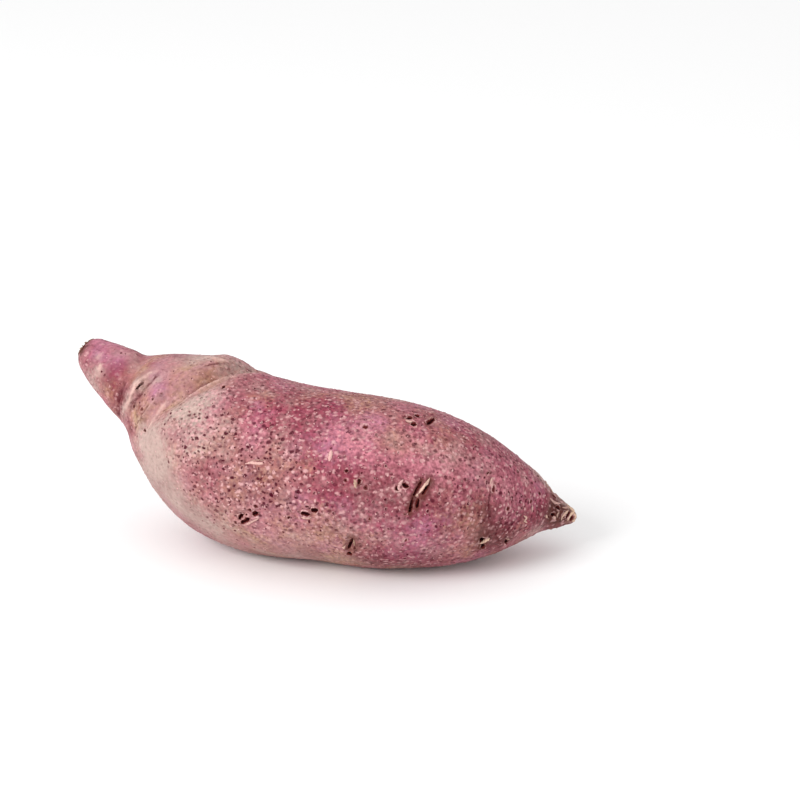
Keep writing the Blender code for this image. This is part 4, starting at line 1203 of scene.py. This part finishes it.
neck_runs = []
for i in range(NECK_STUBS):
    foot, _ = on_neck_end(NECK_FACE * math.sqrt((i + 0.5) / NECK_STUBS), i * GOLDEN_TURN)
    lean = NECK_AXIS + neck_side * draw.uniform(-STUB_LEAN, STUB_LEAN)
    lean += neck_up * draw.uniform(-STUB_LEAN, STUB_LEAN)
    reach = draw.uniform(*STUB_REACH) * MM
    # A stub's outward way is up the neck, so its underside gets the fibre's painted shade.
    trail = [(foot + lean * reach * share, neck_up) for share in STUB_STEPS]
    width, tone = draw.uniform(*STUB_WIDTH), draw.uniform(*STUB_TONE)
    neck_runs.append(strand_rows(trail, width, 0, tone, ends=STUB_ENDS))
for i in range(NECK_FLAPS):
    first = math.tau * i / NECK_FLAPS
    angles = [first + step * FLAP_STEP for step in range(FLAP_STEPS)]
    radius = NECK_RIM + draw.uniform(-RIM_SWAY, RIM_SWAY)
    trail = [on_neck_end(radius, angle) for angle in angles]
    width, tone = draw.uniform(*FLAP_WIDTH), draw.uniform(*FLAP_TONE)
    neck_runs.append(strand_rows(trail, width, 0, tone, ends=FLAP_ENDS))
neck_end = strung("neck_end", neck_runs)
grow(neck_end, laid, STRANDS)
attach(neck_end, "root")

# Root tip: the thin end, where the taproot was pulled off. Its skin has dried into cream ridges
# that run part of the way round, up to a lumpy torn end; between them the hollows are brown with
# dried skin and painted shade.
TIP_RIDGES = (
    (((574, 511.8), (570.6, 514.6), (568.4, 518), (567.6, 521)), 0.55, 0.05, 1.0, 0.15),
    (((573.6, 513.4), (575.2, 516), (574.6, 519)), 0.7, 0.1, 1.0, 0.1),
    (((575.4, 517.6), (574, 520.2), (570.8, 521.6)), 0.55, 0.05, 0.95, 0.15),
    (((568.4, 510.6), (564.6, 513.6), (562, 517), (561, 520.6)), 0.55, 0.05, 0.95, 0.35),
    (((570.6, 506.8), (566, 508), (562.2, 507.4)), 0.5, 0.05, 0.6, 0.6),
    (((552.4, 517), (555.8, 518.8)), 0.7, 0.05, 0.85, 0.7),
    (((549.6, 498), (554.6, 502.8), (560.6, 503.6)), 0.5, 0.05, 0.75, 0.8),
    (((547, 485.4), (552.8, 490.6), (558.2, 496.8), (561, 500.8)), 0.5, 0.0, 0.7, 0.85),
    (((545.6, 515), (547.2, 518)), 0.55, 0.05, 0.85, 0.5),
    (((559.4, 511.6), (557.2, 514.4), (557, 518)), 0.42, 0.05, 0.65, 0.5),
)
# The ridges on the hidden sides, and the lumps of the torn end: x in mm, turns in degrees.
TIP_HIDDEN = 16
HIDDEN_START = 77.5
HIDDEN_LENGTH = 9
HIDDEN_TURNS = (-170, -120, -75, -30)
HIDDEN_ALONG = (0.4, 1.4)
HIDDEN_ROUND = (30, 70)
HIDDEN_WIDTH = (0.3, 0.5)
HIDDEN_TONE = (0.1, 1)
HIDDEN_PINK = 0.3
TIP_KNOB = (85.8, 88.6)
KNOB_TURNS = (-150, -95, -40, 15)
KNOB_TWIST = 12
KNOB_WIDTH = (0.7, 1.0)
KNOB_TONE = (0.8, 1)
KNOB_PINK = 0.1
KNOB_ENDS = 0.4
TIP_LIFT = 0.05
tip_runs = [
    strand_rows(walk(seen_at, path, SLIVER_STEP), half_width, lift, tone, pink)
    for path, half_width, lift, tone, pink in TIP_RIDGES
]
for i in range(TIP_HIDDEN):
    x = HIDDEN_START + HIDDEN_LENGTH * i / TIP_HIDDEN
    turn = draw.choice(HIDDEN_TURNS)
    path = ((x, turn), (x + draw.uniform(*HIDDEN_ALONG), turn + draw.uniform(*HIDDEN_ROUND)))
    trail = walk(turned_to, path, SLIVER_STEP)
    width, tone = draw.uniform(*HIDDEN_WIDTH), draw.uniform(*HIDDEN_TONE)
    tip_runs.append(strand_rows(trail, width, TIP_LIFT, tone, HIDDEN_PINK))
for turn in KNOB_TURNS:
    path = ((TIP_KNOB[0], turn - KNOB_TWIST), (TIP_KNOB[1], turn + KNOB_TWIST))
    trail = walk(turned_to, path, SLIVER_STEP)
    width, tone = draw.uniform(*KNOB_WIDTH), draw.uniform(*KNOB_TONE)
    tip_runs.append(strand_rows(trail, width, TIP_LIFT, tone, KNOB_PINK, KNOB_ENDS))
root_tip = strung("root_tip", tip_runs)
grow(root_tip, laid, STRANDS)
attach(root_tip, "root")

# Floor and light. A white sheet of board lies under the root, lit by a large soft lamp above and
# to the left in front, with white all round to fill the shade.
FLOOR_SIDE = 6.0
FLOOR_WHITE = "#F8F8F8"
floor_mesh = bpy.data.meshes.new("floor")
half = FLOOR_SIDE / 2
corners = [(-half, -half, 0), (half, -half, 0), (half, half, 0), (-half, half, 0)]
floor_mesh.from_pydata(corners, [], [(0, 1, 2, 3)])
floor = bpy.data.objects.new("floor", floor_mesh)
bpy.context.scene.collection.objects.link(floor)
board = bpy.data.materials.new("matt white board")
board.use_nodes = True
paper = board.node_tree.nodes["Principled BSDF"]
paper.inputs["Base Color"].default_value = linear(FLOOR_WHITE)
paper.inputs["Roughness"].default_value = 0.9
paper.inputs["Specular IOR Level"].default_value = 0.1
floor_mesh.materials.append(board)

WORLD_STRENGTH = 0.95
world = bpy.data.worlds.new("white room")
world.use_nodes = True
sky = world.node_tree.nodes["Background"]
sky.inputs["Color"].default_value = (1, 1, 1, 1)
sky.inputs["Strength"].default_value = WORLD_STRENGTH
bpy.context.scene.world = world

LAMP_PLACE = Vector((-0.9, -0.7, 0.75))
LAMP_SIDE = 0.6
LAMP_POWER = 11
lamp_data = bpy.data.lights.new("soft lamp", "AREA")
lamp_data.size = LAMP_SIDE
lamp_data.energy = LAMP_POWER
lamp = bpy.data.objects.new("soft lamp", lamp_data)
lamp.location = LAMP_PLACE
lamp.rotation_euler = (-LAMP_PLACE).to_track_quat("-Z", "Y").to_euler()
bpy.context.scene.collection.objects.link(lamp)
bpy.context.scene.view_settings.view_transform = "Standard"
